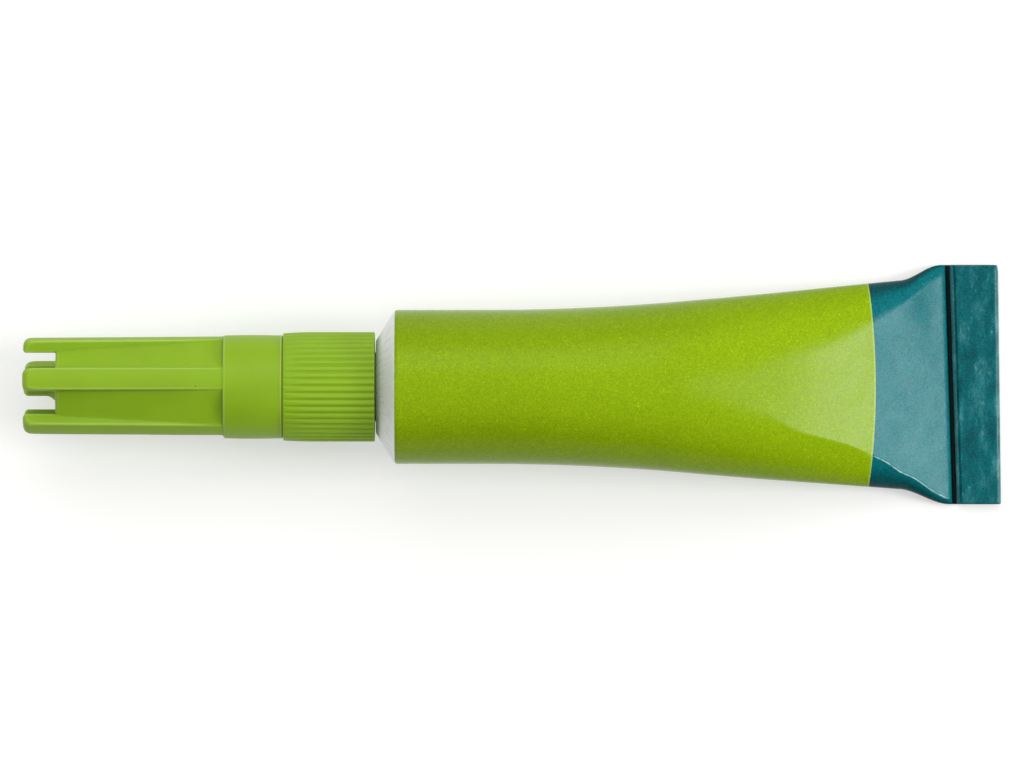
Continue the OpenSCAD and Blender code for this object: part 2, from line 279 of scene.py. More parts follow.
def loft(rings: int, n: int, first: int = 0) -> Faces:
    """Quads between a row of closed rings of n corners, from the corner with the first number on."""
    return [quad for i in range(rings - 1) for quad in ring_quads(first + i * n, first + (i + 1) * n, n)]


def flat_lid(first: int, n: int) -> Faces:
    """Strip of faces that closes a ring whose second half runs back under its first.

    Args:
        first: number of the ring's first corner.
        n: number of its corners.

    Returns:
        The faces.
    """
    half = n // 2
    strip = [(first + j, first + j + 1, first + n - j - 1, first + n - j) for j in range(1, half - 1)]
    ends = [(first, first + 1, first + n - 1), (first + half - 1, first + half, first + half + 1)]
    return strip + ends


@dataclass(frozen=True)
class Rise:
    """A smooth rise from nought to one along a run in millimetres, or a fall where the run is minus."""

    start: float
    run: float

    def at(self, x: Number) -> Number:
        """Share of the rise that is done at x."""
        return smooth((x - self.start) / self.run)


@dataclass(frozen=True)
class Axis:
    """The tube's axis in the part's frame, in millimetres.

    Places along it are counted from the shoulder rim, plus to the tail and minus to the cap.
    """

    height: float = 6.75
    rim_to_middle: float = 10.3227

    def turned(self, along: Number, radius: Number, angle: np.ndarray) -> np.ndarray:
        """Points at places along the axis, distances from it, and turns from straight down towards +Y."""
        across, up = radius * np.sin(angle), self.height - radius * np.cos(angle)
        return np.stack(np.broadcast_arrays(along - self.rim_to_middle, across, up), -1)


AXIS = Axis()


@dataclass(frozen=True)
class ScrewThread:
    """A right-handed screw thread that fades at both ends, in millimetres and shares of its lead."""

    start: float
    end: float
    lead: float
    height: float = 0.4
    foot_share: float = 0.26
    tip_share: float = 0.1
    fade_turns: float = 0.3

    def rise(self, along: Number, angle: np.ndarray) -> np.ndarray:
        """Height of the ridge at places along and round the axis.

        Args:
            along: distance from the shoulder rim.
            angle: turn from straight down towards +Y, in radians.

        Returns:
            Height above the thread's root.
        """
        turn = np.mod(angle, 2 * math.pi) / (2 * math.pi)
        phase = (along - self.start) / self.lead - turn
        count = np.round(phase)
        off = np.abs(phase - count)
        done = turn + count
        left = (self.end - self.start) / self.lead - done
        fade = smooth(np.minimum(done, left) / self.fade_turns)
        flank = np.clip((self.foot_share - off) / (self.foot_share - self.tip_share), 0, 1)
        return self.height * fade * smooth(flank)


# Finishes


@dataclass(frozen=True)
class FlakeLacquer:
    """Flake lacquer, roller-coated and printed in two colours on extruded aluminium.

    It gives a saturated colour with a fine sparkle, a few flakes with painted sparkle, a soft gloss, worn
    print on the creases, and painted highlight and shade.
    """

    lime: str = "86A604"
    teal: str = "02666C"
    trap_line: str = "C3D07A"
    # Pale colour of worn print, also used for the painted highlight on the fold's end and front
    rubbed_and_highlight: str = "BFE3DF"
    # Colour of the painted shade in the gap ahead of the fold
    painted_gap_shade: str = "03090A"
    # The print changes colour over the width of a screen dot, and a thin line of both shows at the change
    dot_mm: float = 0.02
    trap_mm: float = 0.06
    trap_share: float = 0.4
    # Real flakes are about 0.03 mm across, too fine to show, so they are drawn coarser
    flake_mm: float = 0.065
    flake_span: Pair = (-0.8, 1.0)
    lime_flake: float = 0.24
    teal_flake: float = 0.5
    # Painted sparkle: the brightest flakes are drawn lighter still
    painted_glint_from: float = 0.93
    painted_glint: float = 0.6
    # Painted shade on the steep sides, for each ink
    lime_tilt_shade: float = 0.14
    teal_tilt_shade: float = 0.62
    teal_metal: float = 0.02
    mottle_mm: float = 1.6
    mottle_swing: float = 0.02
    cloud_mm: float = 11.0
    cloud_swing: float = 0.03
    # Scuffs are drawn out along the fold, and slant as the crimping jaws dragged them
    rub_mm: Pair = (0.8, 2.2)
    rub_slant: float = 0.35
    scuff_span: Pair = (0.5, 0.72)
    bruise: float = 0.32
    pressed_from: float = 0.05
    scratch_share: float = 3.6
    scratch_span: Pair = (0.56, 0.76)
    scratch_depth: float = 0.26
    streak_span: Pair = (0.48, 0.64)
    chip_mm: float = 0.7
    chip_swing: float = 1.3
    chip_span: Pair = (0.5, 1.0)
    chip_depth: float = 0.8
    ripple: float = 0.3
    ripple_mm: float = 0.06
    grain: float = 0.05
    grain_mm: float = 0.02
    roughness: Pair = (0.2, 0.27)
    specular: float = 0.1

    def material(self) -> bpy.types.Material:
        """Builds the node material, which reads the mesh's numbers for print, worn places, painted highlight
        and painted shade.

        Returns:
            The material.
        """
        material, add, shader = new_material("printed_flake_lacquer")
        place = add(Kind.COORDINATES).outputs["Object"]
        edge, wear_and_highlight, steep, crease, gap_shade_mask = (
            add(Kind.ATTRIBUTE, attribute_name=name).outputs["Fac"]
            for name in ("past_print_edge_mm", "wear_and_highlight", "steep", "crease", "painted_gap_shade")
        )
        mottle, cloud, chip = (
            add(Kind.NOISE, {"Vector": place, "Scale": per_mm(grain), "Detail": detail})
            for grain, detail in ((self.mottle_mm, 3.0), (self.cloud_mm, 2.0), (self.chip_mm, 3.0))
        )
        flake = add(Kind.VORONOI, {"Vector": place, "Scale": per_mm(self.flake_mm)})
        short, long = (per_mm(size) for size in self.rub_mm)
        slant = (0.0, 0.0, self.rub_slant)
        dragged = add(Kind.MAPPING, {"Vector": place, "Rotation": slant, "Scale": (short, long, long)})
        rub, scratch = (
            add(Kind.NOISE, {"Vector": dragged, "Scale": scale, "Detail": detail})
            for scale, detail in ((1.0, 5.0), (self.scratch_share, 3.0))
        )
        step = add(Kind.RANGE, (edge, -self.dot_mm, self.dot_mm, 0.0, 1.0))
        ink = add(Kind.BLEND_COLOUR, {0: step, 6: linear(self.lime), 7: linear(self.teal)})
        near = add(Kind.COMPARE, (edge, -self.trap_mm, self.trap_mm))
        trapped = add(Kind.MULTIPLY, (near, self.trap_share))
        ink = add(Kind.BLEND_COLOUR, {0: trapped, 6: ink, 7: linear(self.trap_line)})
        # Flakes lie at random tilts, so each is a little lighter or darker than the next, and a few carry a
        # painted sparkle
        sparkle = add(Kind.SPLIT_COLOUR, (flake.outputs["Color"],)).outputs
        swing = add(Kind.RANGE, {0: step, 3: self.lime_flake, 4: self.teal_flake})
        spread = add(Kind.RANGE, (sparkle[0], 0.0, 1.0, *self.flake_span))
        tone = add(Kind.MULTIPLY_ADD, (spread, swing, 1.0))
        painted_glints = add(Kind.RANGE, (sparkle[1], self.painted_glint_from, 1.0, 1.0, 1.0 + self.painted_glint))
        mottled, clouded = (
            add(Kind.RANGE, (noise, *NOISE_SPAN, 1 - swings, 1 + swings))
            for noise, swings in ((mottle, self.mottle_swing), (cloud, self.cloud_swing))
        )
        # Painted shade: the colour is drawn darker where the wall stands steep
        depth = add(Kind.RANGE, {0: step, 3: -self.lime_tilt_shade, 4: -self.teal_tilt_shade})
        tilt_shade = add(Kind.MULTIPLY_ADD, (steep, depth, 1.0))
        # Crimping bruised the ink of the fold lighter and darker in slanting streaks
        streak = add(Kind.RANGE, (rub, *NOISE_SPAN, -self.bruise, self.bruise))
        pressed = add(Kind.RANGE, (wear_and_highlight, 0.0, self.pressed_from, 0.0, 1.0))
        bruised = add(Kind.MULTIPLY_ADD, (streak, pressed, 1.0))
        for factor in (mottled, clouded, tilt_shade, painted_glints, bruised):
            tone = add(Kind.MULTIPLY, (tone, factor))
        toned = add(Kind.SCALE, {0: ink, 3: tone})
        # Handling rubs the print off the fold in faint scuffs, and the pale lines along its end and front are
        # partly worn print and partly painted highlight
        patch = add(Kind.RANGE, (rub, *self.scuff_span, 0.0, 1.0))
        kept = add(Kind.SUBTRACT, (1.0, wear_and_highlight))
        worn = add(Kind.MULTIPLY_ADD, (kept, patch, wear_and_highlight))
        bare = add(Kind.MULTIPLY, (worn, wear_and_highlight))
        # It chips the print off the sharp crease in a ragged line
        chipped = add(Kind.MULTIPLY_ADD, (chip, self.chip_swing, -self.chip_swing / 2))
        ragged = add(Kind.ADD, (crease, chipped))
        line = add(Kind.RANGE, (ragged, *self.chip_span, 0.0, self.chip_depth))
        # Fine scratches lie inside the paler streaks of the fold
        fine = add(Kind.RANGE, (scratch, *self.scratch_span, 0.0, self.scratch_depth))
        streaked = add(Kind.RANGE, (rub, *self.streak_span, 0.0, 1.0))
        for mask in (streaked, pressed):
            fine = add(Kind.MULTIPLY, (fine, mask))
        for more in (line, fine):
            bare = add(Kind.MAXIMUM, (bare, more))
        colour = add(Kind.BLEND_COLOUR, {0: bare, 6: toned, 7: linear(self.rubbed_and_highlight)})
        # Painted shade: the gap in front of the fold is drawn near black
        colour = add(Kind.BLEND_COLOUR, {0: gap_shade_mask, 6: colour, 7: linear(self.painted_gap_shade)})
        rough = add(Kind.RANGE, (mottle, *NOISE_SPAN, *self.roughness))
        metal = add(Kind.RANGE, {0: step, 3: 0.0, 4: self.teal_metal})
        # The thin wall is never quite even, which ripples the gloss under the flakes' own grain
        bump = {"Height": mottle, "Strength": self.ripple, "Distance": self.ripple_mm * MM}
        ripple = add(Kind.BUMP, bump)
        bump = {"Height": flake, "Strength": self.grain, "Distance": self.grain_mm * MM, "Normal": ripple}
        grain = add(Kind.BUMP, bump)
        inputs = {"Base Color": colour, "Roughness": rough, "Metallic": metal, "Normal": grain}
        set_inputs(shader, {**inputs, "Specular IOR Level": self.specular})
        return material


@dataclass(frozen=True)
class BareAluminium:
    """Bare extruded aluminium of the shoulder and neck.

    It gives a pale satin metal with short dark drag lines that run down the cone, drawn darker next to the
    seat as painted shade.
    """

    metal: str = "E6E7E7"
    drag: str = "A2A49F"
    lines_round: float = 64.0
    line_mm: float = 0.7
    # The drag lines are drawn darkest next to the seat, partly drag marks and partly painted shade, and fade
    # towards the rim
    seat_shade_mm: float = 1.7
    depth: Pair = (0.6, 0.08)
    # The neck in front of the seat was turned, so it has hardly any of them
    turned_mm: float = 0.4
    turned_share: float = 0.1
    drag_span: Pair = (0.5, 0.74)
    grain: float = 0.15
    grain_mm: float = 0.02
    roughness: Pair = (0.6, 0.78)

    def material(self) -> bpy.types.Material:
        """Builds the node material, with lines that follow the tube's axis.

        Returns:
            The material.
        """
        material, add, shader = new_material("bare_extruded_aluminium")
        place = add(Kind.COORDINATES).outputs["Object"]
        x, y, z = add(Kind.SPLIT, (place,)).outputs
        rise = add(Kind.SUBTRACT, (z, AXIS.height * MM))
        angle = add(Kind.ARCTAN2, (y, rise))
        turn = add(Kind.MULTIPLY, (angle, self.lines_round / math.pi))
        along = add(Kind.MULTIPLY, (x, per_mm(self.line_mm)))
        wrap = add(Kind.COMBINE, (turn, along))
        lines = add(Kind.NOISE, {"Vector": wrap, "Scale": 1.0, "Detail": 4.0})
        foot, rim = -(AXIS.rim_to_middle + self.seat_shade_mm) * MM, -AXIS.rim_to_middle * MM
        fade = add(Kind.RANGE, (x, foot, rim, *self.depth))
        turned = add(Kind.RANGE, (x, foot - self.turned_mm * MM, foot, self.turned_share, 1.0))
        depth = add(Kind.MULTIPLY, (fade, turned))
        # Drag lines, darkened next to the seat as painted shade
        drag_and_shade = add(Kind.RANGE, (lines, *self.drag_span, 0.0, depth))
        colour = add(Kind.BLEND_COLOUR, {0: drag_and_shade, 6: linear(self.metal), 7: linear(self.drag)})
        rough = add(Kind.RANGE, (lines, *NOISE_SPAN, *self.roughness))
        bump = {"Height": lines, "Strength": self.grain, "Distance": self.grain_mm * MM}
        grain = add(Kind.BUMP, bump)
        set_inputs(shader, {"Base Color": colour, "Roughness": rough, "Normal": grain, "Metallic": 1.0})
        return material


@dataclass(frozen=True)
class MouldedPolyethylene:
    """Lime polyethylene, injection moulded.

    It gives a waxy colour with a little depth, a broad soft sheen, flow clouding, a few dark specks, painted
    highlight on its edges and painted shade in its inner corners.
    """

    lime: str = "88AE18"
    # Colours of the painted highlight on edges and of the painted shade in inner corners
    painted_edge_highlight: str = "C6DB7C"
    hollow: str = "4E7A08"
    speck: str = "3E4A12"
    cloud_mm: float = 5.0
    cloud_swing: float = 0.06
    grain_mm: float = 0.22
    grain_height_mm: float = 0.02
    grain_strength: float = 0.12
    speck_mm: float = 2.6
    speck_share: float = 0.038
    speck_core: float = 0.6
    speck_depth: float = 0.8
    # Painted highlight makes the edges paler, and painted shade darkens the inner corners
    bend_full: float = 0.9
    bend_least: float = 0.12
    bend_share: float = 0.45
    # Light goes a little way into the wax, and red and green go farther than blue
    depth_mm: float = 0.5
    depth_share: float = 0.12
    depth_reach: Trio = (0.7, 1.0, 0.25)
    roughness: Pair = (0.38, 0.48)
    ior: float = 1.51
    specular: float = 0.22

    def material(self) -> bpy.types.Material:
        """Builds the node material, which reads how far the mesh bends out or in for its painted highlight
        and shade.

        Returns:
            The material.
        """
        material, add, shader = new_material("moulded_lime_polyethylene")
        place = add(Kind.COORDINATES).outputs["Object"]
        bend = add(Kind.ATTRIBUTE, attribute_name="edge").outputs["Fac"]
        cloud, grain = (
            add(Kind.NOISE, {"Vector": place, "Scale": per_mm(size), "Detail": detail})
            for size, detail in ((self.cloud_mm, 3.0), (self.grain_mm, 2.0))
        )
        specks = add(Kind.VORONOI, {"Vector": place, "Scale": per_mm(self.speck_mm)})
        tone = add(Kind.RANGE, (cloud, *NOISE_SPAN, 1 - self.cloud_swing, 1 + self.cloud_swing))
        colour = add(Kind.SCALE, {0: linear(self.lime)[:3], 3: tone})
        # Painted highlight where the mesh bends out, and painted shade where it bends in
        for hue, full in ((self.painted_edge_highlight, self.bend_full), (self.hollow, -self.bend_full)):
            share = add(Kind.RANGE, (bend, self.bend_least * full, full, 0.0, self.bend_share))
            colour = add(Kind.BLEND_COLOUR, {0: share, 6: colour, 7: linear(hue)})
        core = self.speck_share * self.speck_core
        speck = add(Kind.RANGE, (specks, core, self.speck_share, self.speck_depth, 0.0))
        colour = add(Kind.BLEND_COLOUR, {0: speck, 6: colour, 7: linear(self.speck)})
        bump = {"Height": grain, "Strength": self.grain_strength, "Distance": self.grain_height_mm * MM}
        inputs = {
            "Base Color": colour,
            "Roughness": add(Kind.RANGE, (cloud, *NOISE_SPAN, *self.roughness)),
            "Normal": add(Kind.BUMP, bump),
            "IOR": self.ior,
            "Specular IOR Level": self.specular,
            "Subsurface Weight": self.depth_share,
            "Subsurface Radius": self.depth_reach,
            "Subsurface Scale": self.depth_mm * MM,
        }
        set_inputs(shader, inputs)
        return material


class SmallPart(Enum):
    """Small hidden parts, by their CAD nodes."""

    FOIL = "neck_membrane"
    SEAL = "tail_seal"
    PIN = "anti_clog_pin"


@dataclass(frozen=True)
class SmallPartFinish:
    """Finish of a small hidden part: its colour, how metallic it is, and its grain."""

    name: str
    colour: str
    metallic: float
    roughness: Pair
    grain_mm: Trio
    grain_strength: float
    grain_height_mm: float = 0.03
    tone: Pair = (0.88, 1.08)

    def material(self) -> bpy.types.Material:
        """Builds the node material, with a grain that may be drawn out along one axis.

        Returns:
            The material.
        """
        material, add, shader = new_material(self.name)
        place = add(Kind.COORDINATES).outputs["Object"]
        scale = tuple(per_mm(size) for size in self.grain_mm)
        drawn = add(Kind.MAPPING, {"Vector": place, "Scale": scale})
        grain = add(Kind.NOISE, {"Vector": drawn, "Scale": 1.0, "Detail": 3.0})
        tone = add(Kind.RANGE, (grain, *NOISE_SPAN, *self.tone))
        colour = add(Kind.SCALE, {0: linear(self.colour)[:3], 3: tone})
        rough = add(Kind.RANGE, (grain, *NOISE_SPAN, *self.roughness))
        bump = {"Height": grain, "Strength": self.grain_strength, "Distance": self.grain_height_mm * MM}
        inputs = {"Base Color": colour, "Roughness": rough, "Normal": add(Kind.BUMP, bump)}
        set_inputs(shader, {**inputs, "Metallic": self.metallic})
        return material


# Rolled foil is bright with soft wrinkles, latex is dull and pale, and drawn wire has fine lines along it
SMALL_FINISHES = {
    SmallPart.FOIL: SmallPartFinish("rolled_foil", "D8D9DA", 1.0, (0.18, 0.32), (1.2, 1.2, 1.2), 0.35),
    SmallPart.SEAL: SmallPartFinish("latex_compound", "C9BE9F", 0.0, (0.6, 0.8), (0.4, 0.4, 0.4), 0.3),
    SmallPart.PIN: SmallPartFinish("drawn_steel_wire", "B9BABB", 1.0, (0.2, 0.36), (3.0, 0.08, 0.08), 0.15),
}


@dataclass(frozen=True)
class ClearGel:
    """Cyanoacrylate gel: a clear wet jelly with a faint haze."""

    tint: str = "F2F3EA"
    haze_mm: float = 2.0
    tone: Pair = (0.93, 1.0)
    roughness: Pair = (0.03, 0.12)
    ior: float = 1.45
    clear_share: float = 0.7

    def material(self) -> bpy.types.Material:
        """Builds the node material.

        Returns:
            The material.
        """
        material, add, shader = new_material("clear_wet_gel")
        place = add(Kind.COORDINATES).outputs["Object"]
        haze = add(Kind.NOISE, {"Vector": place, "Scale": per_mm(self.haze_mm)})
        rough, tone = (add(Kind.RANGE, (haze, *NOISE_SPAN, *span)) for span in (self.roughness, self.tone))
        colour = add(Kind.SCALE, {0: linear(self.tint)[:3], 3: tone})
        inputs = {"Base Color": colour, "Roughness": rough, "IOR": self.ior}
        set_inputs(shader, {**inputs, "Transmission Weight": self.clear_share})
        return material


# Sub-assemblies


@dataclass
class PrintedTube:
    """The aluminium tube: threaded neck, cone shoulder, printed sleeve and a tail folded over twice.

    Lengths are in millimetres, and places along it are counted from the shoulder rim.
    """

    radius: float = 6.75
    length: float = 53.2
    wall: float = 0.12
    round_len: float = 8.0
    flare_len: float = 4.2
    lip_len: float = 0.7
    lip_drop: float = 0.3
    lip_ease: float = 0.1
    step_at: float = 0.28
    step_len: float = 0.16
    facet_len: float = 24.0
    widen_share: float = 0.64
    ease_share: float = 0.47
    fold_w: float = 4.1
    seal_gap: float = 0.1
    seal_end: float = 0.3
    cone_deg: float = 58.5
    shoulder_wall: float = 0.5
    rim_round: float = 0.5
    neck_r: float = 2.9
    neck_bore_r: float = 2.3
    neck_len: float = 5.9
    neck_lip: float = 0.08
    seat_r: float = 4.05
    neck_pitch: float = 1.0
    thread_free: float = 0.3
    cone_span: Pair = (0.02, 0.97)
    # How steeply the panel falls towards the fold
    slope_places: Row = (20.0, 23.0, 26.0, 30.0, 36.0, 42.0)
    slopes: Row = (0.13, 0.185, 0.3, 0.372, 0.478, 0.58)
    # The near edge of the panel is a wavering crease, and the far edge is soft
    panel_rise: Rise = Rise(26.0, 10.0)
    near_places: Row = (24.0, 32.9, 36.5, 39.7, 42.2, 45.2, 48.1, 49.1)
    near_widths: Row = (0.4, 3.4, 4.35, 5.25, 6.3, 8.05, 10.0, 10.4)
    near_waver: float = 0.07
    waver_rate: float = 2.3
    waver_rise: Rise = Rise(40.0, 3.0)
    crease_full: float = 0.83
    crease_rise: Rise = Rise(30.0, 10.5)
    far_share: Pair = (0.5, 0.42)
    far_rise: Rise = Rise(36.0, 13.0)
    # Height of each dent, then its place and reach along the tube, and its place and reach across
    dents: tuple[Row, ...] = ((-0.05, 33.0, 5.0, 2.5, 2.6), (0.04, 44.5, 2.2, 6.5, 1.6))
    dent_rise: Rise = Rise(9.0, 14.0)
    dent_fall: Rise = Rise(47.5, -2.0)
    # The crimping jaws left the tail askew, its end less than the fold's front
    fold_lean: float = 0.33
    end_lean: float = 0.13
    lean_rise: Rise = Rise(44.0, 4.5)
    tail_drift: float = 0.2
    drift_rise: Rise = Rise(28.0, 20.0)
    # Height of the bead and the groove along the fold's front, their place behind it, and their reach
    front_lines: tuple[Row, ...] = ((0.05, 0.52, 0.11), (-0.11, 0.34, 0.07))
    bead_len: float = 0.6
    wave_rise: Rise = Rise(0.0, 0.8)
    print_edge: float = 42.2
    print_bow: float = 0.6
    print_bow_at: float = 9.0
    chip_rise: Rise = Rise(39.5, 3.5)
    chip_fall: Rise = Rise(49.3, -2.2)
    # Worn share all over the fold, and shares of the pale lines along its end and front, which are partly
    # painted highlight
    fold_wear_and_highlight: Trio = (0.05, 0.3, 0.2)
    # Place and reach of the pale lines along the fold's end and its front, partly worn print and partly
    # painted highlight, and where the front's starts
    end_wear_and_highlight: Pair = (-0.12, 0.16)
    front_wear_and_highlight: Pair = (0.1, 0.14)
    front_wear_and_highlight_rise: Rise = Rise(0.35, 0.3)
    # Painted shade darkens the colour where the wall stands steep, and the fold is drawn a little darker all
    # over
    tilt_shade_rise: Rise = Rise(0.25, 0.45)
    fold_darkening: float = 0.3
    # Painted shade lies ahead of the fold's front, between two heights
    painted_gap_shade: float = 0.96
    gap_shade_along: tuple[Rise, Rise] = (Rise(-0.44, 0.12), Rise(0.24, -0.2))
    gap_shade_up: tuple[Rise, Rise] = (Rise(0.6, -0.2), Rise(0.1, 0.08))
    # Corners crowd at the panel's edge, and where the panel is narrow they keep this far from the middle
    panel_columns: int = 20
    side_columns: int = 26
    crease_round: float = 0.17
    crowd_least: float = 2.6
    crowd_share: float = 0.2
    crowd_most: float = 10.0
    lacquered_bend: int = 4
    first_ring: float = 0.35
    close_from: float = 0.2
    ring_counts: tuple[int, ...] = (14, 104, 20, 9, 11)
    inner_ends: Pair = (1.2, 46.0)
    lacquer: FlakeLacquer = field(default_factory=FlakeLacquer)
    metal: BareAluminium = field(default_factory=BareAluminium)

    @property
    def half_slit(self) -> float:
        """Half width of the flattened tail."""
        return math.pi * (2 * self.radius - 2 * self.wall) / 4 + self.wall

    @property
    def fold_x(self) -> float:
        """Place of the fold's front edge."""
        return self.length - self.fold_w

    @property
    def fold_rise(self) -> float:
        """Height of the fold's layers."""
        return 3 * 2 * self.wall + 2 * self.seal_gap

    @property
    def flare_end(self) -> float:
        """Place where the flare has reached its full width."""
        return self.fold_x - self.lip_len

    @property
    def cone(self) -> float:
        """Slope of the shoulder's cone, in radians."""
        return math.radians(self.cone_deg)

    @property
    def seat(self) -> float:
        """Place of the seat ring at the foot of the neck."""
        return -(self.radius - self.seat_r) / math.tan(self.cone)

    @property
    def mouth(self) -> float:
        """Place of the neck's mouth."""
        return self.seat - self.neck_len

    def inner_cone(self, depth: float) -> float:
        """Place where the inside of the shoulder is this far inside the sleeve's radius."""
        return -depth / math.tan(self.cone) + self.shoulder_wall / math.sin(self.cone)

    @property
    def columns(self) -> int:
        """Number of corners round one ring."""
        return 4 * (self.panel_columns + self.side_columns)

    @property
    def turns(self) -> np.ndarray:
        """Turn of each corner of the sleeve's round end, from straight down towards +Y."""
        first = self.section(0.0)
        return np.arctan2(first[:, 0], -first[:, 1])

    def half_width(self, x: float) -> float:
        """Half width of the sleeve.

        Args:
            x: place along the tube.

        Returns:
            The half width there.
        """
        start = self.flare_end - self.flare_len
        e = self.ease_share
        u = min(1.0, max(0.0, (x - self.round_len) / (start - self.round_len)))
        rise = u * u / (2 * e - e * e) if u < e else (2 * u - e) / (2 - e)
        share = self.widen_share * rise + (1 - self.widen_share) * Rise(start, self.flare_len).at(x)
        return mix(self.radius, self.half_slit, share)

    def half_panel(self, x: float) -> float:
        """Half width of the flat panel at x."""
        return max(0.0, (self.half_slit - self.wall) * (x - self.fold_x + self.facet_len) / self.facet_len)

    def half_height(self, x: float) -> float:
        """Half height of the sleeve, whose panel falls ever steeper to a step ahead of the fold.

        Args:
            x: place along the tube.

        Returns:
            The half height there.
        """
        start = self.slope_places[0]
        if x <= start:
            return self.girth_height(x)
        run = np.linspace(start, x, 120)
        steep = np.interp((run[1:] + run[:-1]) / 2, self.slope_places, self.slopes)
        top = 2 * self.girth_height(start) - float((steep * np.diff(run)).sum())
        top -= self.lip_drop * max(0.0, x - self.flare_end + self.lip_ease) ** 2
        step = smooth((x - self.flare_end - self.step_at) / self.step_len)
        return (top * (1 - step) + 2 * self.wall * step) / 2

    def girth_height(self, x: float) -> float:
        """Half height at which the girth is that of the round tube.

        Args:
            x: place along the tube.

        Returns:
            The half height there.
        """
        if x <= self.round_len:
            return self.radius
        flat = self.half_panel(x)
        p = self.half_width(x) - flat
        goal = 2 * math.pi * self.radius - 4 * flat
        low, high = 0.0, self.radius
        for _ in range(48):
            q = (low + high) / 2
            if math.pi * (3 * (p + q) - math.sqrt((3 * p + q) * (p + 3 * q))) > goal:
                high = q
            else:
                low = q
        return max(self.wall, low)

    def crease(self, x: float, side: Side) -> float:
        """How hard the panel's edge is bent at x: nought is smooth, and the near edge is the sharper one."""
        share = (self.crease_full if side is Side.NEAR else 0.0) * self.crease_rise.at(x)
        return share / (1 - share)

    def panel_edge(self, x: float, side: Side) -> float:
        """Half width of the panel on one side.

        Args:
            x: place along the tube.
            side: side of the panel.

        Returns:
            The half width there.
        """
        flat, soft = self.half_panel(x), 1.0
        if side is Side.NEAR:
            flat = np.interp(x, self.near_places, self.near_widths)
            flat += self.near_waver * math.sin(self.waver_rate * x) * self.waver_rise.at(x)
        else:
            soft = self.far_share[0] + self.far_share[1] * self.far_rise.at(x)
        return min(flat * (soft * self.panel_rise.at(x)), self.half_width(x) - self.wall)

    def quarter(self, width: float, height: float, flat: float, crease: float) -> np.ndarray:
        """Corners of the upper quarter of a section, from the middle of the panel out to the side.

        Args:
            width: half width of the section.
            height: half height of the section.
            flat: half width of the panel.
            crease: bend of the panel's edge.

        Returns:
            Places across and above the section's middle.
        """
        share = crease / (1 + crease)
        reach = (width - flat) * (1 + crease)
        middle = flat - crease * (width - flat)
        tall = height / math.sqrt(1 - share * share)
        turn = np.linspace(math.acos(share), 0, 240)
        line = np.stack([middle + reach * np.cos(turn), tall * np.sin(turn)], -1)
        line = np.vstack([[[0.0, height]], line])
        run = np.concatenate([[0], np.cumsum(np.hypot(*np.diff(line, axis=0).T))])
        edge = min(max(flat, self.crowd_least + self.crowd_share * flat), self.crowd_most)
        panel = np.linspace(0, edge - self.crease_round, self.panel_columns)
        side = np.linspace(edge + self.crease_round, run[-1], self.side_columns)
        stops = np.concatenate([panel, [edge], side])
        return np.stack([np.interp(stops, run, line[:, 0]), np.interp(stops, run, line[:, 1])], -1)

    def section(self, x: float) -> np.ndarray:
        """One whole ring of the sleeve's section, from the far side over the top, and back below.

        Args:
            x: place along the tube.

        Returns:
            Places across and above the section's middle.
        """
        width, height = self.half_width(x), self.half_height(x)
        far, near = (
            self.quarter(width, height, self.panel_edge(x, side), self.crease(x, side)) * [side.value, 1]
            for side in (Side.FAR, Side.NEAR)
        )
        top = np.vstack([far[::-1], near[1:]])
        return np.vstack([top, (top * [1, -1])[-2:0:-1]])

    def dent(self, x: np.ndarray, y: np.ndarray) -> np.ndarray:
        """Slight dents and chance waves of the soft sleeve, most of all ahead of the tail.

        Args:
            x: place along the tube.
            y: place across.

        Returns:
            How far the skin stands out there.
        """
        # The waves' heights, lengths and starts are chance
        lift = 0.018 * np.sin(x / 1.9 + 0.7) * np.sin(y / 2.3 + 0.4)
        lift = lift + 0.014 * np.sin(x / 3.1 - y / 2.9 + 1.1)
        for height, at_x, reach_x, at_y, reach_y in self.dents:
            lift = lift + height * bell(x, at_x, reach_x) * bell(y, at_y, reach_y)
        return lift * self.dent_rise.at(x) * self.dent_fall.at(x)

    def sleeve_ring(self, x: float) -> np.ndarray:
        """One ring of the sleeve's outer skin.

        Args:
            x: place along the tube.

        Returns:
            Points in the part's frame.
        """
        height = self.half_height(x)
        y, z = self.section(x).T
        along = np.full_like(y, x)
        z = z + height + np.where(z > 0, self.dent(along, y) * np.clip(z / height, 0, 1), 0)
        return self.skewed(along, y, z)

    def skewed(self, x: np.ndarray, y: np.ndarray, z: np.ndarray) -> np.ndarray:
        """Sets the tail a little askew, as the crimping jaws left it.

        Args:
            x: place along the tube.
            y: place across.
            z: height.

        Returns:
            Points in the part's frame.
        """
        share = np.clip((x - self.fold_x) / self.fold_w, 0, 1)
        lean = -y / self.half_slit * mix(self.fold_lean, self.end_lean, share) * self.lean_rise.at(x)
        return np.stack([x + lean - AXIS.rim_to_middle, y + self.tail_drift * self.drift_rise.at(x), z], -1)

    def inner_ring(self, x: float, gap: float) -> np.ndarray:
        """One ring of the sleeve moved in by a gap, for its inside and for what fills it.

        Args:
            x: place along the tube.
            gap: how far the ring moves in.

        Returns:
            Points in the part's frame.
        """
        ring = self.sleeve_ring(x)
        run = (np.roll(ring, -1, 0) - np.roll(ring, 1, 0))[:, 1:]
        out = np.stack([run[:, 1], -run[:, 0]], -1) / np.linalg.norm(run, axis=1, keepdims=True)
        out *= np.sign(((ring[:, 1:] - ring[:, 1:].mean(0)) * out).sum(1))[:, None]
        ring[:, 1:] -= gap * out
        return ring

    def round_rings(self, along: list[float], radius: list[Number]) -> list[np.ndarray]:
        """Turned rings whose corners stand at the same turns as the sleeve's."""
        angle = self.turns
        return [AXIS.turned(a, r, angle) for a, r in zip(along, radius)]

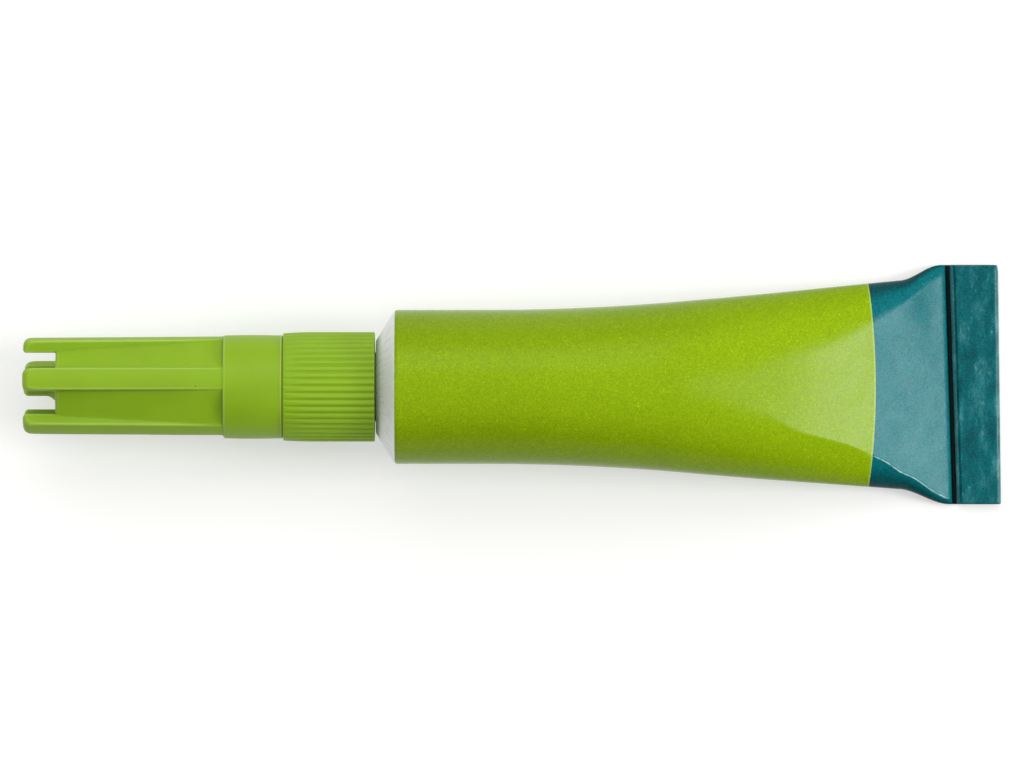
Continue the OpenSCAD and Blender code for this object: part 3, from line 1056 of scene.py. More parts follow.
    def neck_rings(self) -> list[np.ndarray]:
        """Rings of the neck's lip, its thread, the seat and the cone up to the bend of the rim.

        Returns:
            The rings, from the mouth to the sleeve.
        """
        angle, lip, free = self.turns, self.neck_lip, self.thread_free * self.neck_pitch
        thread = ScrewThread(self.mouth + free, self.seat - free, self.neck_pitch)
        along = [self.mouth, self.mouth]
        radius = [self.neck_bore_r + lip, self.neck_r - lip]
        for a in np.linspace(self.mouth + lip, self.seat - lip, 58):
            along.append(a)
            radius.append(self.neck_r + thread.rise(a, angle))
        along += [self.seat, self.seat]
        radius += [self.neck_r + lip, self.seat_r - lip]
        bend = self.rim_round * math.tan(self.cone / 2)
        top_r = self.radius - self.rim_round + self.rim_round * math.cos(self.cone)
        top_x = bend - self.rim_round * math.sin(self.cone)
        for u in np.linspace(*self.cone_span, 9):
            along.append(mix(self.seat, top_x, u))
            radius.append(mix(self.seat_r, top_r, u))
        for t in np.linspace(-self.cone, 0, 6):
            along.append(bend + self.rim_round * math.sin(t))
            radius.append(self.radius - self.rim_round + self.rim_round * math.cos(t))
        return self.round_rings(along, radius)

    def fold_rings(self) -> list[np.ndarray]:
        """Rings of the flattened tail, swept along the fold's path: under, back over, and in again.

        Returns:
            The rings, from the fold's front on.
        """
        layer, rise = 2 * self.wall, self.fold_rise
        turn_r, curl_r = rise / 2, layer + self.seal_gap / 2
        back, front = self.length - turn_r, self.fold_x + curl_r

        def half_turn(x: float, z: float, r: float, turns: np.ndarray) -> list[Trio]:
            """Places round a bend of a radius, each with the path's turn there."""
            return [(x + r * math.sin(t), z - r * math.cos(t), t) for t in turns]

        path = [(x, self.wall, 0.0) for x in np.linspace(self.fold_x, back, 12)[:-1]]
        path += half_turn(back, turn_r, turn_r - self.wall, np.linspace(0, math.pi, 13)[:-1])
        # Rings stand closer over the groove and the bead
        bead = front + self.bead_len
        for run in ((back, bead, 24), (bead, front, 18)):
            path += [(x, rise - self.wall, math.pi) for x in np.linspace(*run)[:-1]]
        turns = np.linspace(math.pi, 2 * math.pi, 11)[:-1]
        path += half_turn(front, rise - curl_r, curl_r - self.wall, turns)
        inner = np.linspace(front, back - self.seal_end, 10)
        path += [(x, layer + self.seal_gap + self.wall, 2 * math.pi) for x in inner]
        y, off = self.section(self.fold_x).T
        rings = []
        for x, z, t in path:
            px, pz = x - off * math.sin(t), z + off * math.cos(t)
            rings.append(self.skewed(px, y, pz + self.fold_lift(px - self.fold_x, y, pz / rise)))
        return rings

    def fold_lift(self, edge: np.ndarray, y: np.ndarray, share: np.ndarray) -> np.ndarray:
        """Chance waves of the fold, and the groove behind its front bead.

        Args:
            edge: distance from the fold's front edge.
            y: place across.
            share: share of the fold's height.

        Returns:
            How far the layers lie above their even height.
        """
        # The waves' heights, lengths and starts are chance
        wave = 0.045 * (1 + np.sin(y / 1.7 + 0.5)) + 0.03 * (1 + np.sin(y / 0.8 + edge * 1.3))
        wave = wave + 0.035 * (1 + np.sin(y / 1.1 - edge * 1.9 + 1.4) * np.sin(y / 3.7 + 0.8))
        lines = sum(high * bell(edge, at, reach) for high, at, reach in self.front_lines)
        return (wave * self.wave_rise.at(edge) + lines) * smooth(share) ** 2

    def sleeve_stations(self) -> list[float]:
        """Places of the sleeve's rings, which stand closer where it bends more.

        Returns:
            The places, from behind the rim to the step ahead of the fold.
        """
        flare, step = self.flare_end - self.flare_len, self.flare_end + self.step_at
        ends = (self.round_len, flare, self.flare_end - self.close_from, step, step + self.step_len)
        stations = [self.first_ring]
        for end, count in zip(ends, self.ring_counts):
            stations.extend(np.linspace(stations[-1], end, count)[1:])
        return stations

    def build(self) -> bpy.types.Object:
        """Builds the tube as one closed skin, dresses it, and puts it on its body.

        Returns:
            The tube.
        """
        neck, fold = self.neck_rings(), self.fold_rings()
        sleeve = [self.sleeve_ring(x) for x in self.sleeve_stations()]
        bore_r = self.neck_bore_r
        throat, rim = self.inner_cone(self.radius - bore_r), self.inner_cone(self.wall)
        places, radii = [self.mouth + self.neck_lip, throat, rim], [bore_r, bore_r, self.radius - self.wall]
        inside = self.round_rings(places, radii)
        inside += [self.inner_ring(x, self.wall) for x in np.linspace(*self.inner_ends, 46)]
        outer = neck + sleeve + fold
        n, start = self.columns, len(outer) * self.columns
        faces = loft(len(outer), n) + loft(len(inside), n, start) + ring_quads(0, start, n)
        faces += flat_lid(start - n, n) + flat_lid(start + (len(inside) - 1) * n, n)
        tube = make_mesh("tube_skin", np.vstack(outer + inside), faces, sharp_deg=60)
        self.dress(tube, len(neck), len(sleeve), len(outer))
        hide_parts("tube_shell")
        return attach(tube, Body.TUBE.value)

    def dress(self, tube: bpy.types.Object, necks: int, sleeves: int, outers: int) -> None:
        """Gives the tube its print, its worn places, its painted highlight and shade, and its two materials.

        Args:
            tube: the tube's mesh object.
            necks: number of rings of neck and shoulder.
            sleeves: number of rings of the sleeve.
            outers: number of rings of the whole outer skin.
        """
        mesh, n = tube.data, self.columns
        count = len(mesh.vertices)
        x, y, z = (read_numbers(mesh.vertices, "co", (count, 3)) / MM).T
        x = x + AXIS.rim_to_middle
        across = y / self.half_slit
        from_front = x - self.fold_x + self.fold_lean * across
        fold = slice((necks + sleeves) * n, outers * n)
        wear_and_highlight, crease = np.zeros(count), np.zeros(count)
        crease_column = 2 * self.panel_columns + self.side_columns
        for ring in range(necks, necks + sleeves):
            place = x[ring * n]
            crease[ring * n + crease_column] = self.chip_rise.at(place) * self.chip_fall.at(place)
        # The fold is worn a little all over, and its end and its front get pale lines that are partly worn
        # print and partly painted highlight
        worn, at_end, at_front = self.fold_wear_and_highlight
        from_end = x - self.length + self.end_lean * across
        end = bell(from_end, *self.end_wear_and_highlight)
        front = bell(from_front, *self.front_wear_and_highlight) * self.front_wear_and_highlight_rise.at(z)
        wear_and_highlight[fold] = (worn + at_end * end + at_front * front)[fold]
        # Painted shade: the steeper the wall stands, the darker its colour is drawn
        normal = read_numbers(mesh.vertices, "normal", (count, 3))
        steep = self.tilt_shade_rise.at(np.abs(normal[:, 1]))
        steep[fold] = np.maximum(steep[fold], self.fold_darkening)
        # Painted shade in the gap ahead of the fold's front
        painted_gap_shade = self.painted_gap_shade * math.prod(rise.at(from_front) for rise in self.gap_shade_along)
        for rise in self.gap_shade_up:
            painted_gap_shade = painted_gap_shade * rise.at(z)
        bow = self.print_bow * (y / self.print_bow_at) ** 2
        set_attribute(tube, "past_print_edge_mm", x - (self.print_edge - bow))
        for name, values in (("wear_and_highlight", wear_and_highlight), ("crease", crease), ("steep", steep), ("painted_gap_shade", painted_gap_shade)):
            set_attribute(tube, name, values)
        for finish in (self.lacquer, self.metal):
            mesh.materials.append(finish.material())
        # The inside and the neck are bare metal, and the lacquer starts on the bend of the rim
        rings = read_numbers(mesh.loops, "vertex_index", (len(mesh.loops),), int) // n
        starts = read_numbers(mesh.polygons, "loop_start", (len(mesh.polygons),), int)
        low, high = np.minimum.reduceat(rings, starts), np.maximum.reduceat(rings, starts)
        bare = (low < necks - self.lacquered_bend) | (high >= outers)
        mesh.polygons.foreach_set("material_index", bare.astype(int))


@dataclass
class TailSeal:
    """The band of sealing compound round the inner edge of the fold, which follows the fold's skew."""

    tube: PrintedTube
    start: float = 0.58
    inset: float = 0.01
    tip_len: float = 0.15
    tip_bend: float = 0.12
    tip_blunt: float = 0.04
    tip_slope: float = 0.05
    stations: int = 25

    def outline(self) -> np.ndarray:
        """Outline of the band, a hook round the edge.

        Returns:
            Places along the tube and heights.
        """
        t, gap = self.tube, self.inset
        layer, rise = 2 * t.wall, t.fold_rise
        end = t.length - rise / 2 - t.seal_end
        front, tip = t.fold_x + self.start, end + self.tip_len
        low, high = layer + gap, rise - layer - gap
        under, over = layer + t.seal_gap - gap, rise - layer - t.seal_gap + gap
        bend, blunt, slope = tip - self.tip_bend, tip - self.tip_blunt, self.tip_slope
        nose = [(bend, low), (blunt, low + slope), (tip, rise / 2), (blunt, high - slope), (bend, high)]
        back = [(front, high), (front, over), (end + gap, over), (end + gap, under), (front, under)]
        return np.array([(front, low), *nose, *back])

    def build(self) -> bpy.types.Object:
        """Builds the band, dresses it, and puts it on its body.

        Returns:
            The band.
        """
        t = self.tube
        along, up = self.outline().T
        n, side = len(along), t.half_slit - 2 * t.wall
        rings = []
        for y in np.linspace(-side, side, self.stations):
            across = np.full(n, y)
            lift = t.fold_lift(along - t.fold_x, across, up / t.fold_rise)
            rings.append(t.skewed(along, across, up + lift))
        last = (len(rings) - 1) * n
        faces = loft(len(rings), n) + [tuple(range(n)), tuple(range(last, last + n))]
        seal = make_mesh("tail_seal_band", np.vstack(rings), faces, sharp_deg=40)
        seal.data.materials.append(SMALL_FINISHES[SmallPart.SEAL].material())
        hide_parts(SmallPart.SEAL.value)
        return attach(seal, Body.TUBE.value)


@dataclass
class GelFilling:
    """The gel in the neck, the shoulder and the front of the sleeve, with a rounded free end."""

    tube: PrintedTube
    gap: float = 0.15
    fill_len: float = 20.5
    # Steps to the rings at the rounded front and at the throat, and what each adds to the radius in the neck
    front_steps: Trio = (0.0, 0.1, 0.4)
    front_out: Trio = (-0.5, -0.15, 0.0)
    throat_steps: Pair = (-0.2, 0.1)
    throat_out: Pair = (0.0, 0.2)
    body_from: float = 0.5
    end_round: float = 1.2
    end_share: float = 0.55
    finish: ClearGel = field(default_factory=ClearGel)

    def build(self) -> bpy.types.Object:
        """Builds the gel, dresses it, and puts it on its body.

        Returns:
            The gel.
        """
        t = self.tube
        rise = self.gap * math.tan(t.cone / 2)
        throat, rim = (t.inner_cone(depth) + rise for depth in (t.radius - t.neck_bore_r, t.wall))
        front = t.mouth + self.gap
        neck_r, body_r = t.neck_bore_r - self.gap, t.radius - t.wall - self.gap
        along = [front + step for step in self.front_steps] + [throat + step for step in self.throat_steps]
        radius = [neck_r + out for out in self.front_out + self.throat_out]
        rings = t.round_rings([*along, rim], [*radius, body_r])
        end = self.fill_len - self.end_round
        rings += [t.inner_ring(x, t.wall + self.gap) for x in np.linspace(rim + self.body_from, end, 24)]
        last = rings[-1]
        middle = last.mean(0)
        for a in np.linspace(0, math.pi / 2, 7)[1:]:
            ring = mix(middle, last, mix(self.end_share, 1, math.cos(a)))
            ring[:, 0] = last[0, 0] + self.end_round * math.sin(a)
            rings.append(ring)
        n = t.columns
        faces = loft(len(rings), n) + flat_lid(0, n) + flat_lid((len(rings) - 1) * n, n)
        gel = make_mesh("gel_filling", np.vstack(rings), faces, sharp_deg=60)
        gel.data.materials.append(self.finish.material())
        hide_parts("glue_gel")
        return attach(gel, Body.TUBE.value)


@dataclass
class RibbedNozzle:
    """The nozzle: a ribbed skirt that screws on the neck, and a spout that carries the cap's thread."""

    finish: bpy.types.Material
    skirt_end: float = -1.7546
    front: float = -9.8046
    floor: float = -7.7046
    neck_mouth: float = -7.5546
    neck_lead: float = 1.0
    neck_thread_free: Pair = (0.8, 0.3)
    valley_r: float = 4.66
    ridge_h: float = 0.14
    ridges: int = 48
    # One ridge, as places round the skirt and shares of its height
    ridge_places: Row = (0.0, 0.09, 0.18, 0.29, 0.42, 0.55, 0.66, 0.75, 0.87)
    ridge_shares: Row = (0.2, 0.62, 0.9, 1.0, 1.0, 0.9, 0.62, 0.2, 0.0)
    skirt_round: float = 0.1
    skirt_ease: float = 0.03
    # Painted highlight on the skirt's end edge
    skirt_edge_highlight: Pair = (0.2, 0.3)
    # The ridges run lower towards the front, where the edge is rounded
    taper_len: float = 2.5
    taper_at: float = 0.16
    taper_low: float = 0.42
    taper_rise: float = 0.88
    front_round: float = 0.15
    # Painted shade between the ridges and painted highlight on their tops: its strength, the share of their
    # height where it changes over, and how little of it there is at the front
    groove: float = 0.58
    groove_from: float = 0.6
    groove_front: float = 0.4
    # Small edges and fillets all over
    break_edge: float = 0.05
    fillet: float = 0.08
    chamfer: float = 0.12
    ease: float = 0.4
    socket_r: float = 3.45
    flow_r: float = 1.5
    spout_len: float = 17.2
    spout_r: float = 2.75
    spout_flare: float = 0.3
    spout_lead: float = 2.0
    thread_len: float = 5.6
    thread_end: float = 0.6
    cone_r: float = 2.35
    tip_r: float = 1.2
    tip_bore_r: float = 0.55
    pin_room: float = 4.5

    def ridge_columns(self) -> tuple[np.ndarray, np.ndarray]:
        """Turn of each column round the skirt, and its share of a ridge's height."""
        angle = np.add.outer(np.arange(self.ridges), self.ridge_places) * (2 * math.pi / self.ridges)
        return angle.ravel(), np.tile(self.ridge_shares, self.ridges)

    def rows(self) -> tuple[list[np.ndarray], list[np.ndarray]]:
        """Goes round the nozzle's whole surface: the skirt, along the spout and back inside it.

        Returns:
            Rings of corners, and for each corner its painted highlight, or painted shade where it is below
            nought.
        """
        angle, share = self.ridge_columns()
        ones = np.ones_like(angle)
        ridge = self.valley_r + self.ridge_h * share
        rings: list[np.ndarray] = []
        bends: list[np.ndarray] = []

        def ring(along: float, radius: Number, bend: Number = 0.0) -> None:
            """Adds one ring."""
            rings.append(AXIS.turned(along, radius, angle))
            bends.append(bend * ones)

        def row(start: float, end: float, first_r: float, last_r: float, shares: np.ndarray) -> None:
            """Adds rings at shares of the way from one place and radius to another."""
            for u in shares:
                ring(mix(start, end, u), mix(first_r, last_r, u))

        # The skirt's end, its ridges and their taper, and the rounded front
        # Painted shade between the ridges and painted highlight on their tops
        groove = self.groove * (share - self.groove_from)
        ring(self.skirt_end, ridge - self.skirt_round, self.skirt_edge_highlight[0])
        ring(self.skirt_end - self.skirt_ease, ridge - self.skirt_ease, self.skirt_edge_highlight[1])
        taper_end = self.front + self.front_round + self.taper_len
        for a in np.linspace(self.skirt_end - self.skirt_round, self.front + self.taper_len + self.ease, 9):
            ring(a, ridge, groove)
        for u in np.linspace(1, 0, 14):
            limit = self.valley_r + self.ridge_h * (self.taper_low + self.taper_rise * u)
            start = self.front + self.taper_at
            fade = mix(self.groove_front, 1, u)
            radius = -cut_max(-ridge, -limit * ones, self.break_edge)
            ring(mix(start, taper_end, u), radius, groove * fade)
        for t in np.linspace(0, math.pi / 2, 6)[1:]:
            edge = self.valley_r + self.break_edge - self.front_round * (1 - math.cos(t))
            ring(self.front + self.front_round * (1 - math.sin(t)), np.minimum(ridge, edge))
        # The spout's foot, its thread, its cone and its rounded tip
        ring(self.front, self.spout_r + self.spout_flare)
        ring(self.front - self.break_edge, self.spout_r + self.fillet)
        foot, tip = self.front - self.thread_len, self.front - self.spout_len
        thread = ScrewThread(foot + self.thread_end, self.front - self.thread_end, self.spout_lead)
        for a in np.linspace(self.front - self.front_round, foot, 30):
            ring(a, self.spout_r + thread.rise(a, angle))
        edge = self.tip_r - self.tip_bore_r
        row(foot - self.ease, tip + edge, self.cone_r, self.tip_r, np.linspace(0, 1, 10))
        for t in np.linspace(0, math.pi / 2, 5)[1:]:
            ring(tip + edge * (1 - math.sin(t)), self.tip_r - edge / 2 * (1 - math.cos(t)))
        # The bore for the pin, the flow cone, and the socket with the neck's thread
        ring(tip, self.tip_bore_r + self.break_edge)
        ring(tip + self.break_edge, self.tip_bore_r)
        start = tip + self.pin_room
        row(tip, start, self.tip_bore_r, self.tip_bore_r, np.linspace(0.2, 1, 4))
        row(start, self.floor, self.tip_bore_r, self.flow_r, np.linspace(0.15, 0.97, 7))
        ring(self.floor, self.flow_r + self.fillet)
        ring(self.floor, self.socket_r - self.chamfer)
        first, last = self.neck_thread_free
        neck_thread = ScrewThread(self.neck_mouth + first, self.skirt_end - last, self.neck_lead)
        for a in np.linspace(self.floor + self.fillet, self.skirt_end - self.chamfer, 46):
            ring(a, self.socket_r - neck_thread.rise(a, angle))
        ring(self.skirt_end, self.socket_r + self.chamfer)
        return rings, bends

    def build(self) -> bpy.types.Object:
        """Builds the nozzle, dresses it, and puts it on its body.

        Returns:
            The nozzle.
        """
        rings, bends = self.rows()
        n = len(rings[0])
        faces = loft(len(rings), n) + ring_quads((len(rings) - 1) * n, 0, n)
        nozzle = make_mesh("ribbed_nozzle", np.vstack(rings), faces, sharp_deg=55)
        # These numbers give the material its painted highlight and painted shade
        set_attribute(nozzle, "edge", np.concatenate(bends))
        nozzle.data.materials.append(self.finish)
        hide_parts("nozzle")
        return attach(nozzle, Body.NOZZLE.value)


@dataclass
class FinnedCap:
    """The cap: a threaded collar, a hollow core with five fins, a crown, and a piercing spike.

    It is a distance field, so that fins, collar and crown run into each other with moulded fillets.
    """

    finish: bpy.types.Material
    rim: float = -9.825
    collar_foot: float = -15.0246
    thread_foot: float = -15.5546
    spout_thread_end: float = -15.4046
    cavity_end: float = -27.5046
    end: float = -29.7046
    crown: float = -32.5546
    pin_seat: float = -29.1046
    collar_r: float = 4.55
    collar_belly: float = 0.05
    collar_bead: float = 0.045
    bead_at: float = 0.13
    bead_reach: float = 0.11
    core_r: float = 4.35
    core_end_r: float = 3.52
    core_wall: float = 1.15
    taper_past: float = 0.1
    bore_r: float = 3.3
    pin_hole_r: float = 0.45
    lead: float = 2.0
    fin_r: float = 4.42
    fin_end_r: float = 4.3
    fin_w: float = 1.94
    back_fin_w: float = 1.0
    fins: int = 5
    fin_turn: float = 10.0
    crown_in_r: float = 3.12
    panel_share: float = 0.925
    spike_r: float = 0.8
    spike_foot: float = 0.45
    spike_foot_at: float = 1.0
    spike_foot_len: float = 1.1
    spike_tip: float = 0.3
    spike_tip_len: float = 0.4
    # Widths of the moulded fillets, and of the rounded edges
    fin_fillet: float = 0.09
    collar_fillet: float = 0.12
    spike_fillet: float = 0.2
    collar_round: float = 0.14
    end_round: float = 0.3
    fin_round: float = 0.12
    fin_tip_round: float = 0.5
    fin_top_round: float = 0.75
    fin_inner_round: float = 0.2
    mouth_round: float = 0.1
    mouth_flare: float = 0.15
    mouth_flare_len: float = 0.25
    # How far core, fins and spike reach into what they stand on
    core_root: float = 0.6
    fin_root: float = 0.4
    spike_root: float = 0.5
    # How far the thread stays from the ends of the spout and of the cap
    thread_free: Pair = (1.6, 0.6)
    bend_reach: float = 0.14
    bend_full: float = 7.0
    cell: float = 0.118

    def facing(self, y: np.ndarray, z: np.ndarray, number: float) -> tuple[np.ndarray, np.ndarray]:
        """Distance of points out from the axis along a fin, and across it. A half is between two fins."""
        turn = math.radians(self.fin_turn + 360 * number / self.fins)
        return y * math.sin(turn) + z * math.cos(turn), y * math.cos(turn) - z * math.sin(turn)

    def fin_field(self, x: np.ndarray, y: np.ndarray, z: np.ndarray, number: int) -> np.ndarray:
        """Distance field of one fin, whose end stands out past the core as a tine of the crown.

        Args:
            x: distance from the shoulder rim.
            y: place across.
            z: height over the axis.
            number: the fin's number from the top.

        Returns:
            Distance to the fin, minus inside it.
        """
        out, across = self.facing(y, z, number)
        width = self.back_fin_w if abs(number - self.fins / 2) < 1 else self.fin_w
        share = (self.collar_foot - x) / (self.collar_foot - self.crown)
        top = mix(self.fin_r, self.fin_end_r, share)
        tip = np.exp(-np.maximum(x - self.crown, 0) / self.fin_tip_round)
        body = cut_max(np.hypot(y, z) - top, self.crown - x, self.fin_top_round)
        body = cut_max(body, np.abs(across) - width / 2, self.fin_round + self.fin_tip_round * tip)
        body = cut_max(body, self.crown_in_r - out, self.fin_inner_round)
        return np.maximum(body, x - self.collar_foot - self.fin_root)

    def outside(self, x: np.ndarray, y: np.ndarray, z: np.ndarray, r: np.ndarray) -> np.ndarray:
        """Distance field of collar, core, fins and spike as if they were solid.

        Args:
            x: distance from the shoulder rim.
            y: place across.
            z: height over the axis.
            r: distance from the axis.

        Returns:
            Distance to them, minus inside.
        """
        middle = (self.rim + self.collar_foot) / 2
        belly = 1 - ((x - middle) / (self.rim - middle)) ** 2
        collar_r = self.collar_r - self.collar_belly * (1 - np.clip(belly, 0, 1))
        collar_r = collar_r + self.collar_bead * bell(x, self.rim - self.bead_at, self.bead_reach)
        half_len = (self.rim - self.collar_foot) / 2
        collar = cut_max(r - collar_r, np.abs(x - middle) - half_len, self.collar_round)
        # The core's taper goes on a little past both its ends
        share = (self.collar_foot - x) / (self.collar_foot - self.end)
        share = np.clip(share, -self.taper_past, 1 + self.taper_past)
        core_r = mix(self.core_r, self.core_end_r, share)
        core = r - core_r
        for number in range(self.fins):
            core = np.maximum(core, self.facing(y, z, number + 0.5)[0] - self.panel_share * core_r)
        core = cut_max(core, self.end - x, self.end_round)
        core = np.maximum(core, x - self.collar_foot - self.core_root)
        shape = join_min(core, collar, self.collar_fillet)
        for number in range(self.fins):
            shape = join_min(shape, self.fin_field(x, y, z, number), self.fin_fillet)
        foot = Rise(self.end - self.spike_foot_at, self.spike_foot_len).at(x) ** 2
        tip = np.clip(1 - (x - self.crown) / self.spike_tip_len, 0, 1) ** 2
        spike = r - self.spike_r - self.spike_foot * foot + self.spike_tip * tip
        spike = cut_max(spike, self.crown - x, self.spike_fillet)
        return join_min(shape, np.maximum(spike, x - self.end - self.spike_root), self.spike_fillet)

    def field(self, at: np.ndarray) -> np.ndarray:
        """Distance field of the whole cap.

        Args:
            at: places from the shoulder rim, across, and over the axis.

        Returns:
            Distance to the cap's surface, minus inside it.
        """
        x, y, z = at[:, 0], at[:, 1], at[:, 2]
        r = np.hypot(y, z)
        start, end = self.thread_free
        thread = ScrewThread(self.spout_thread_end + start, self.rim - end, self.lead)
        flare = Rise(self.rim - self.mouth_flare_len, self.mouth_flare_len).at(x)
        mouth = self.bore_r - thread.rise(x, np.arctan2(y, -z)) + self.mouth_flare * flare
        depth = (self.thread_foot - x) / (self.thread_foot - self.cavity_end)
        wall_r = self.core_r - self.core_wall + (self.core_end_r - self.core_r) * np.clip(depth, 0, 1)
        bore = np.maximum(r - mouth, self.thread_foot - x)
        cavity = cut_max(r - wall_r, self.cavity_end - x, self.end_round)
        hole = np.maximum(r - self.pin_hole_r, self.pin_seat - x)
        hollow = np.minimum(np.minimum(bore, cavity), hole)
        return cut_max(self.outside(x, y, z, r), -hollow, self.mouth_round)

    def net(self) -> tuple[np.ndarray, np.ndarray]:
        """Surface net of the field: a corner in each cell that the surface crosses, drawn onto the surface.

        Returns:
            Corner places, and the corner numbers of each quad.
        """
        side = self.collar_r + 3 * self.cell
        low = np.array([self.crown - 3 * self.cell, -side, -side])
        high = np.array([self.rim + 3 * self.cell, side, side])
        size = np.ceil((high - low) / self.cell).astype(int) + 1
        axes = [low[i] + self.cell * np.arange(size[i]) for i in range(3)]
        grid = np.stack(np.meshgrid(*axes, indexing="ij"), -1)
        values = self.field(grid.reshape(-1, 3)).reshape(size)
        corners = [(i, j, k) for i in (0, 1) for j in (0, 1) for k in (0, 1)]
        p, q, r = size - 1
        cells = np.stack([values[i : p + i, j : q + j, k : r + k] for i, j, k in corners], -1)
        crossed = (cells < 0).any(-1) & (cells >= 0).any(-1)
        where = np.argwhere(crossed)
        held = cells[crossed]
        total, hits = np.zeros((len(where), 3)), np.zeros(len(where))
        for a in range(8):
            for b in range(a + 1, 8):
                step = np.subtract(corners[b], corners[a])
                if np.abs(step).sum() != 1:
                    continue
                cuts = (held[:, a] < 0) != (held[:, b] < 0)
                share = np.where(cuts, held[:, a] / np.where(cuts, held[:, a] - held[:, b], 1), 0)
                total += np.where(cuts[:, None], np.array(corners[a]) + share[:, None] * step, 0)
                hits += cuts
        points = low + self.cell * (where + total / hits[:, None])
        number = np.full(size - 1, -1)
        number[crossed] = np.arange(len(where))
        quads = np.vstack([self.quads_across(values < 0, number, axis) for axis in range(3)])
        return self.settle(points), quads

    def quads_across(self, inside: np.ndarray, number: np.ndarray, axis: int) -> np.ndarray:
        """Quads round the grid's edges along one axis that the surface crosses.

        Args:
            inside: whether each grid point is inside the cap.
            number: corner number of each cell.
            axis: number of the axis.

        Returns:
            Corner numbers of the quads, all facing out.
        """
        change = inside != np.roll(inside, -1, axis)
        change[tuple(slice(-1, None) if i == axis else slice(None) for i in range(3))] = False
        edge = np.argwhere(change)
        one, two = [(1, 2), (2, 0), (0, 1)][axis]
        around = []
        for da, db in ((-1, -1), (0, -1), (0, 0), (-1, 0)):
            cell = edge.copy()
            cell[:, one] += da
            cell[:, two] += db
            around.append(number[tuple(cell.T)])
        quad = np.stack(around, -1)
        flip = ~inside[tuple(edge.T)]
        quad[flip] = quad[flip][:, ::-1]
        return quad

    def settle(self, points: np.ndarray) -> np.ndarray:
        """Draws corners onto the surface along the slope of the field.

        Args:
            points: corner places.

        Returns:
            The new places.
        """
        tiny, least_slope, most = 0.01, 0.05, 0.4 * self.cell
        for _ in range(3):
            here = self.field(points)
            rise = [self.field(points + e) - self.field(points - e) for e in tiny * np.eye(3)]
            slope = np.stack(rise, -1) / (2 * tiny)
            size = np.maximum((slope**2).sum(1), least_slope)
            move = slope * (here / size)[:, None]
            far = np.linalg.norm(move, axis=1, keepdims=True)
            points = points - move * np.minimum(1, most / np.maximum(far, 1e-9))
        return points

    def bend(self, points: np.ndarray) -> np.ndarray:
        """How far the surface bends out at points, or in where it is below nought."""
        around = sum(self.field(points + e) + self.field(points - e) for e in self.bend_reach * np.eye(3))
        return np.clip((around - 6 * self.field(points)) / self.bend_reach**2 / self.bend_full, -1, 1)

    def build(self) -> bpy.types.Object:
        """Builds the cap, dresses it, and puts it on its body.

        Returns:
            The cap.
        """
        points, quads = self.net()
        cap = make_mesh("finned_cap", points + [-AXIS.rim_to_middle, 0, AXIS.height], quads.tolist())
        # The bend sets painted highlight on edges and painted shade in inner corners
        set_attribute(cap, "edge", self.bend(points))
        cap.data.materials.append(self.finish)
        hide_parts("cap")
        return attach(cap, Body.CAP.value)


@dataclass
class Lamp:
    """One soft lamp: where it stands, in metres, its size, and how bright its face is."""

    name: str
    place: Trio
    size: Pair
    radiance: float

    def build(self) -> None:
        """Makes the lamp, turned to the part."""
        data = bpy.data.lights.new(self.name, "AREA")
        data.shape = "RECTANGLE"
        data.size, data.size_y = self.size
        data.energy = self.radiance * math.pi * self.size[0] * self.size[1]
        lamp = bpy.data.objects.new(self.name, data)
        lamp.location = self.place
        far = math.dist(self.place, (0, 0, 0))
        x, y, z = (c / far for c in self.place)
        lamp.rotation_euler = (math.acos(z), 0, math.atan2(y, x) + math.pi / 2)
        lamp.visible_camera = False
        bpy.context.scene.collection.objects.link(lamp)


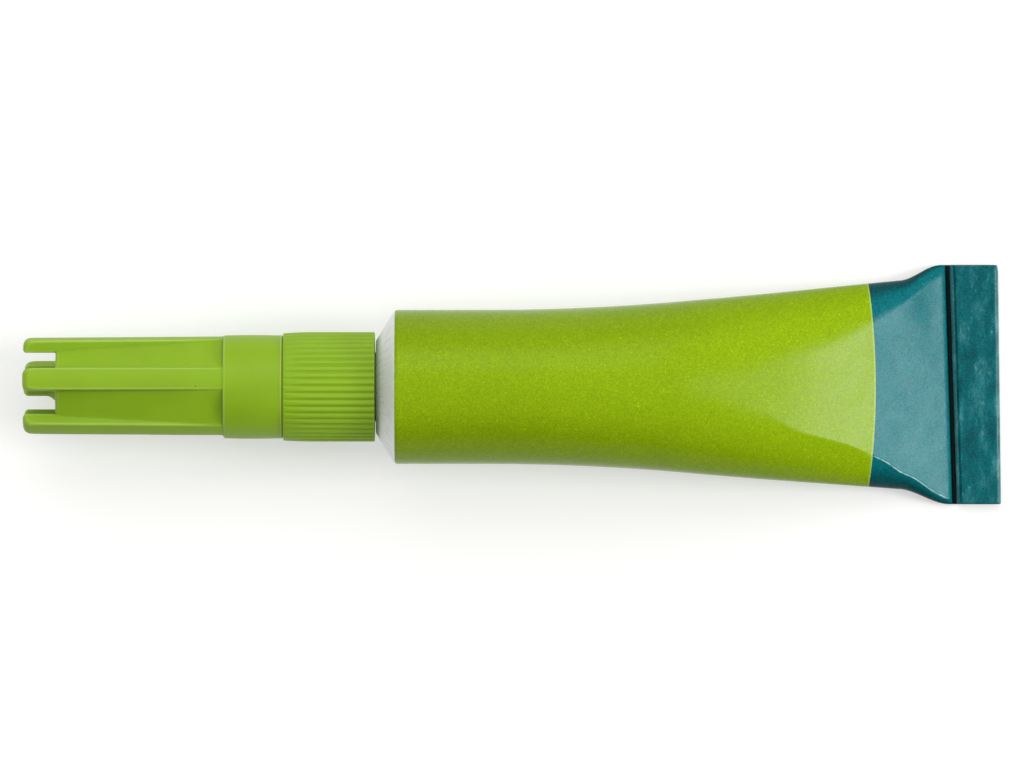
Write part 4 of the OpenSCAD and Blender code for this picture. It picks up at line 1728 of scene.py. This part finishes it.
@dataclass
class Studio:
    """Pale floor, soft light from a white tent, and a camera straight above, as in the photograph."""

    floor_half: float = 3.0
    floor_colour: str = "D2D2D0"
    floor_glow: float = 0.42
    floor_roughness: float = 0.9
    tent_near_far: Pair = (0.22, 0.88)
    tent_foot_top: Pair = (0.6, 1.5)
    horizon: Pair = (0.06, 0.16)
    camera_place: Trio = (-0.00006, 0.00025, 1.30675)
    view_width_mm: float = 89.75
    view_far_mm: float = 1300.0
    sensor_mm: float = 36.0
    clip_m: Pair = (0.01, 20.0)
    lamps: list[Lamp] = field(
        default_factory=lambda: [
            Lamp("key_softbox", (-0.05, 0.55, 0.65), (0.7, 0.5), 1.4),
            Lamp("tail_softbox", (0.78, 0.0, 0.46), (0.22, 0.22), 20.5),
            Lamp("tail_fill", (0.63, 0.0, 0.66), (0.3, 0.26), 3.4),
        ]
    )

    def build(self) -> None:
        """Makes the whole studio."""
        self.build_floor()
        self.build_world()
        self.build_camera()
        for lamp in self.lamps:
            lamp.build()
        bpy.context.scene.view_settings.view_transform = "Standard"

    def seen_rays(self, add: Adder) -> bpy.types.Node:
        """Adds nodes that give one where a ray shows the background: straight, in gloss or through glass.

        Args:
            add: add_node bound to a tree.

        Returns:
            The node whose output is that one.
        """
        rays = add(Kind.LIGHT_PATH).outputs
        seen = rays["Is Camera Ray"]
        for name in ("Is Glossy Ray", "Is Transmission Ray"):
            seen = add(Kind.MAXIMUM, (seen, rays[name]))
        return seen

    def build_floor(self) -> None:
        """Makes the floor: a pale matt board that keeps the part's shadow and is white where it has none."""
        h = self.floor_half / MM
        corners = np.array([[-h, -h, 0.0], [h, -h, 0.0], [h, h, 0.0], [-h, h, 0.0]])
        floor = make_mesh("floor", corners, [(0, 1, 2, 3)])
        material, add, shader = new_material("pale_matt_board")
        glow = add(Kind.MULTIPLY, (self.seen_rays(add), self.floor_glow))
        inputs = {"Base Color": linear(self.floor_colour), "Roughness": self.floor_roughness}
        set_inputs(shader, {**inputs, "Specular IOR Level": 0.0})
        set_inputs(shader, {"Emission Color": WHITE, "Emission Strength": glow})
        floor.data.materials.append(material)

    def build_world(self) -> None:
        """Makes the white tent round the part, dimmer on the near side and white at the horizon."""
        world = bpy.data.worlds.new("white_tent")
        bpy.context.scene.world = world
        world.use_nodes = True
        world.node_tree.nodes.clear()
        add = partial(add_node, world.node_tree)
        way = add(Kind.COORDINATES).outputs["Generated"]
        _, y, z = add(Kind.SPLIT, (way,)).outputs
        wall = add(Kind.RANGE, (y, -1.0, 1.0, *self.tent_near_far))
        roof = add(Kind.RANGE, (z, 0.0, 1.0, *self.tent_foot_top))
        tent = add(Kind.MULTIPLY, (wall, roof))
        low = add(Kind.SMOOTH_RANGE, (z, *self.horizon, 1.0, 0.0))
        band = add(Kind.MULTIPLY, (low, self.seen_rays(add)))
        light = add(Kind.BLEND, {0: band, 2: tent, 3: 1.0})
        back = add(Kind.BACKGROUND, {"Color": WHITE, "Strength": light})
        add(Kind.WORLD_OUTPUT, {"Surface": back})

    def build_camera(self) -> None:
        """Makes the camera, square above the part."""
        data = bpy.data.cameras.new("photo_camera")
        data.sensor_width = self.sensor_mm
        data.lens = self.sensor_mm * self.view_far_mm / self.view_width_mm
        data.clip_start, data.clip_end = self.clip_m
        camera = bpy.data.objects.new("photo_camera", data)
        camera.location = self.camera_place
        bpy.context.scene.collection.objects.link(camera)
        bpy.context.scene.camera = camera


def dress_small_parts() -> None:
    """Gives the small parts that keep their CAD shape their finishes."""
    for part in (SmallPart.FOIL, SmallPart.PIN):
        finish = SMALL_FINISHES[part]
        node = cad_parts[part.value]
        node.data.materials.clear()
        node.data.materials.append(finish.material())
        LOG.info("%s keeps its CAD shape as %s", part.value, finish.name)


def main() -> None:
    """Builds the studio and the part's pieces in order."""
    logging.basicConfig(level=logging.INFO, format="%(name)s: %(message)s")
    Studio().build()
    tube = PrintedTube()
    lime = MouldedPolyethylene().material()
    for maker in (tube, TailSeal(tube), GelFilling(tube), RibbedNozzle(lime), FinnedCap(lime)):
        piece = maker.build()
        LOG.info("%s has %d faces", piece.name, len(piece.data.polygons))
    dress_small_parts()


if __name__ == "__main__":
    main()
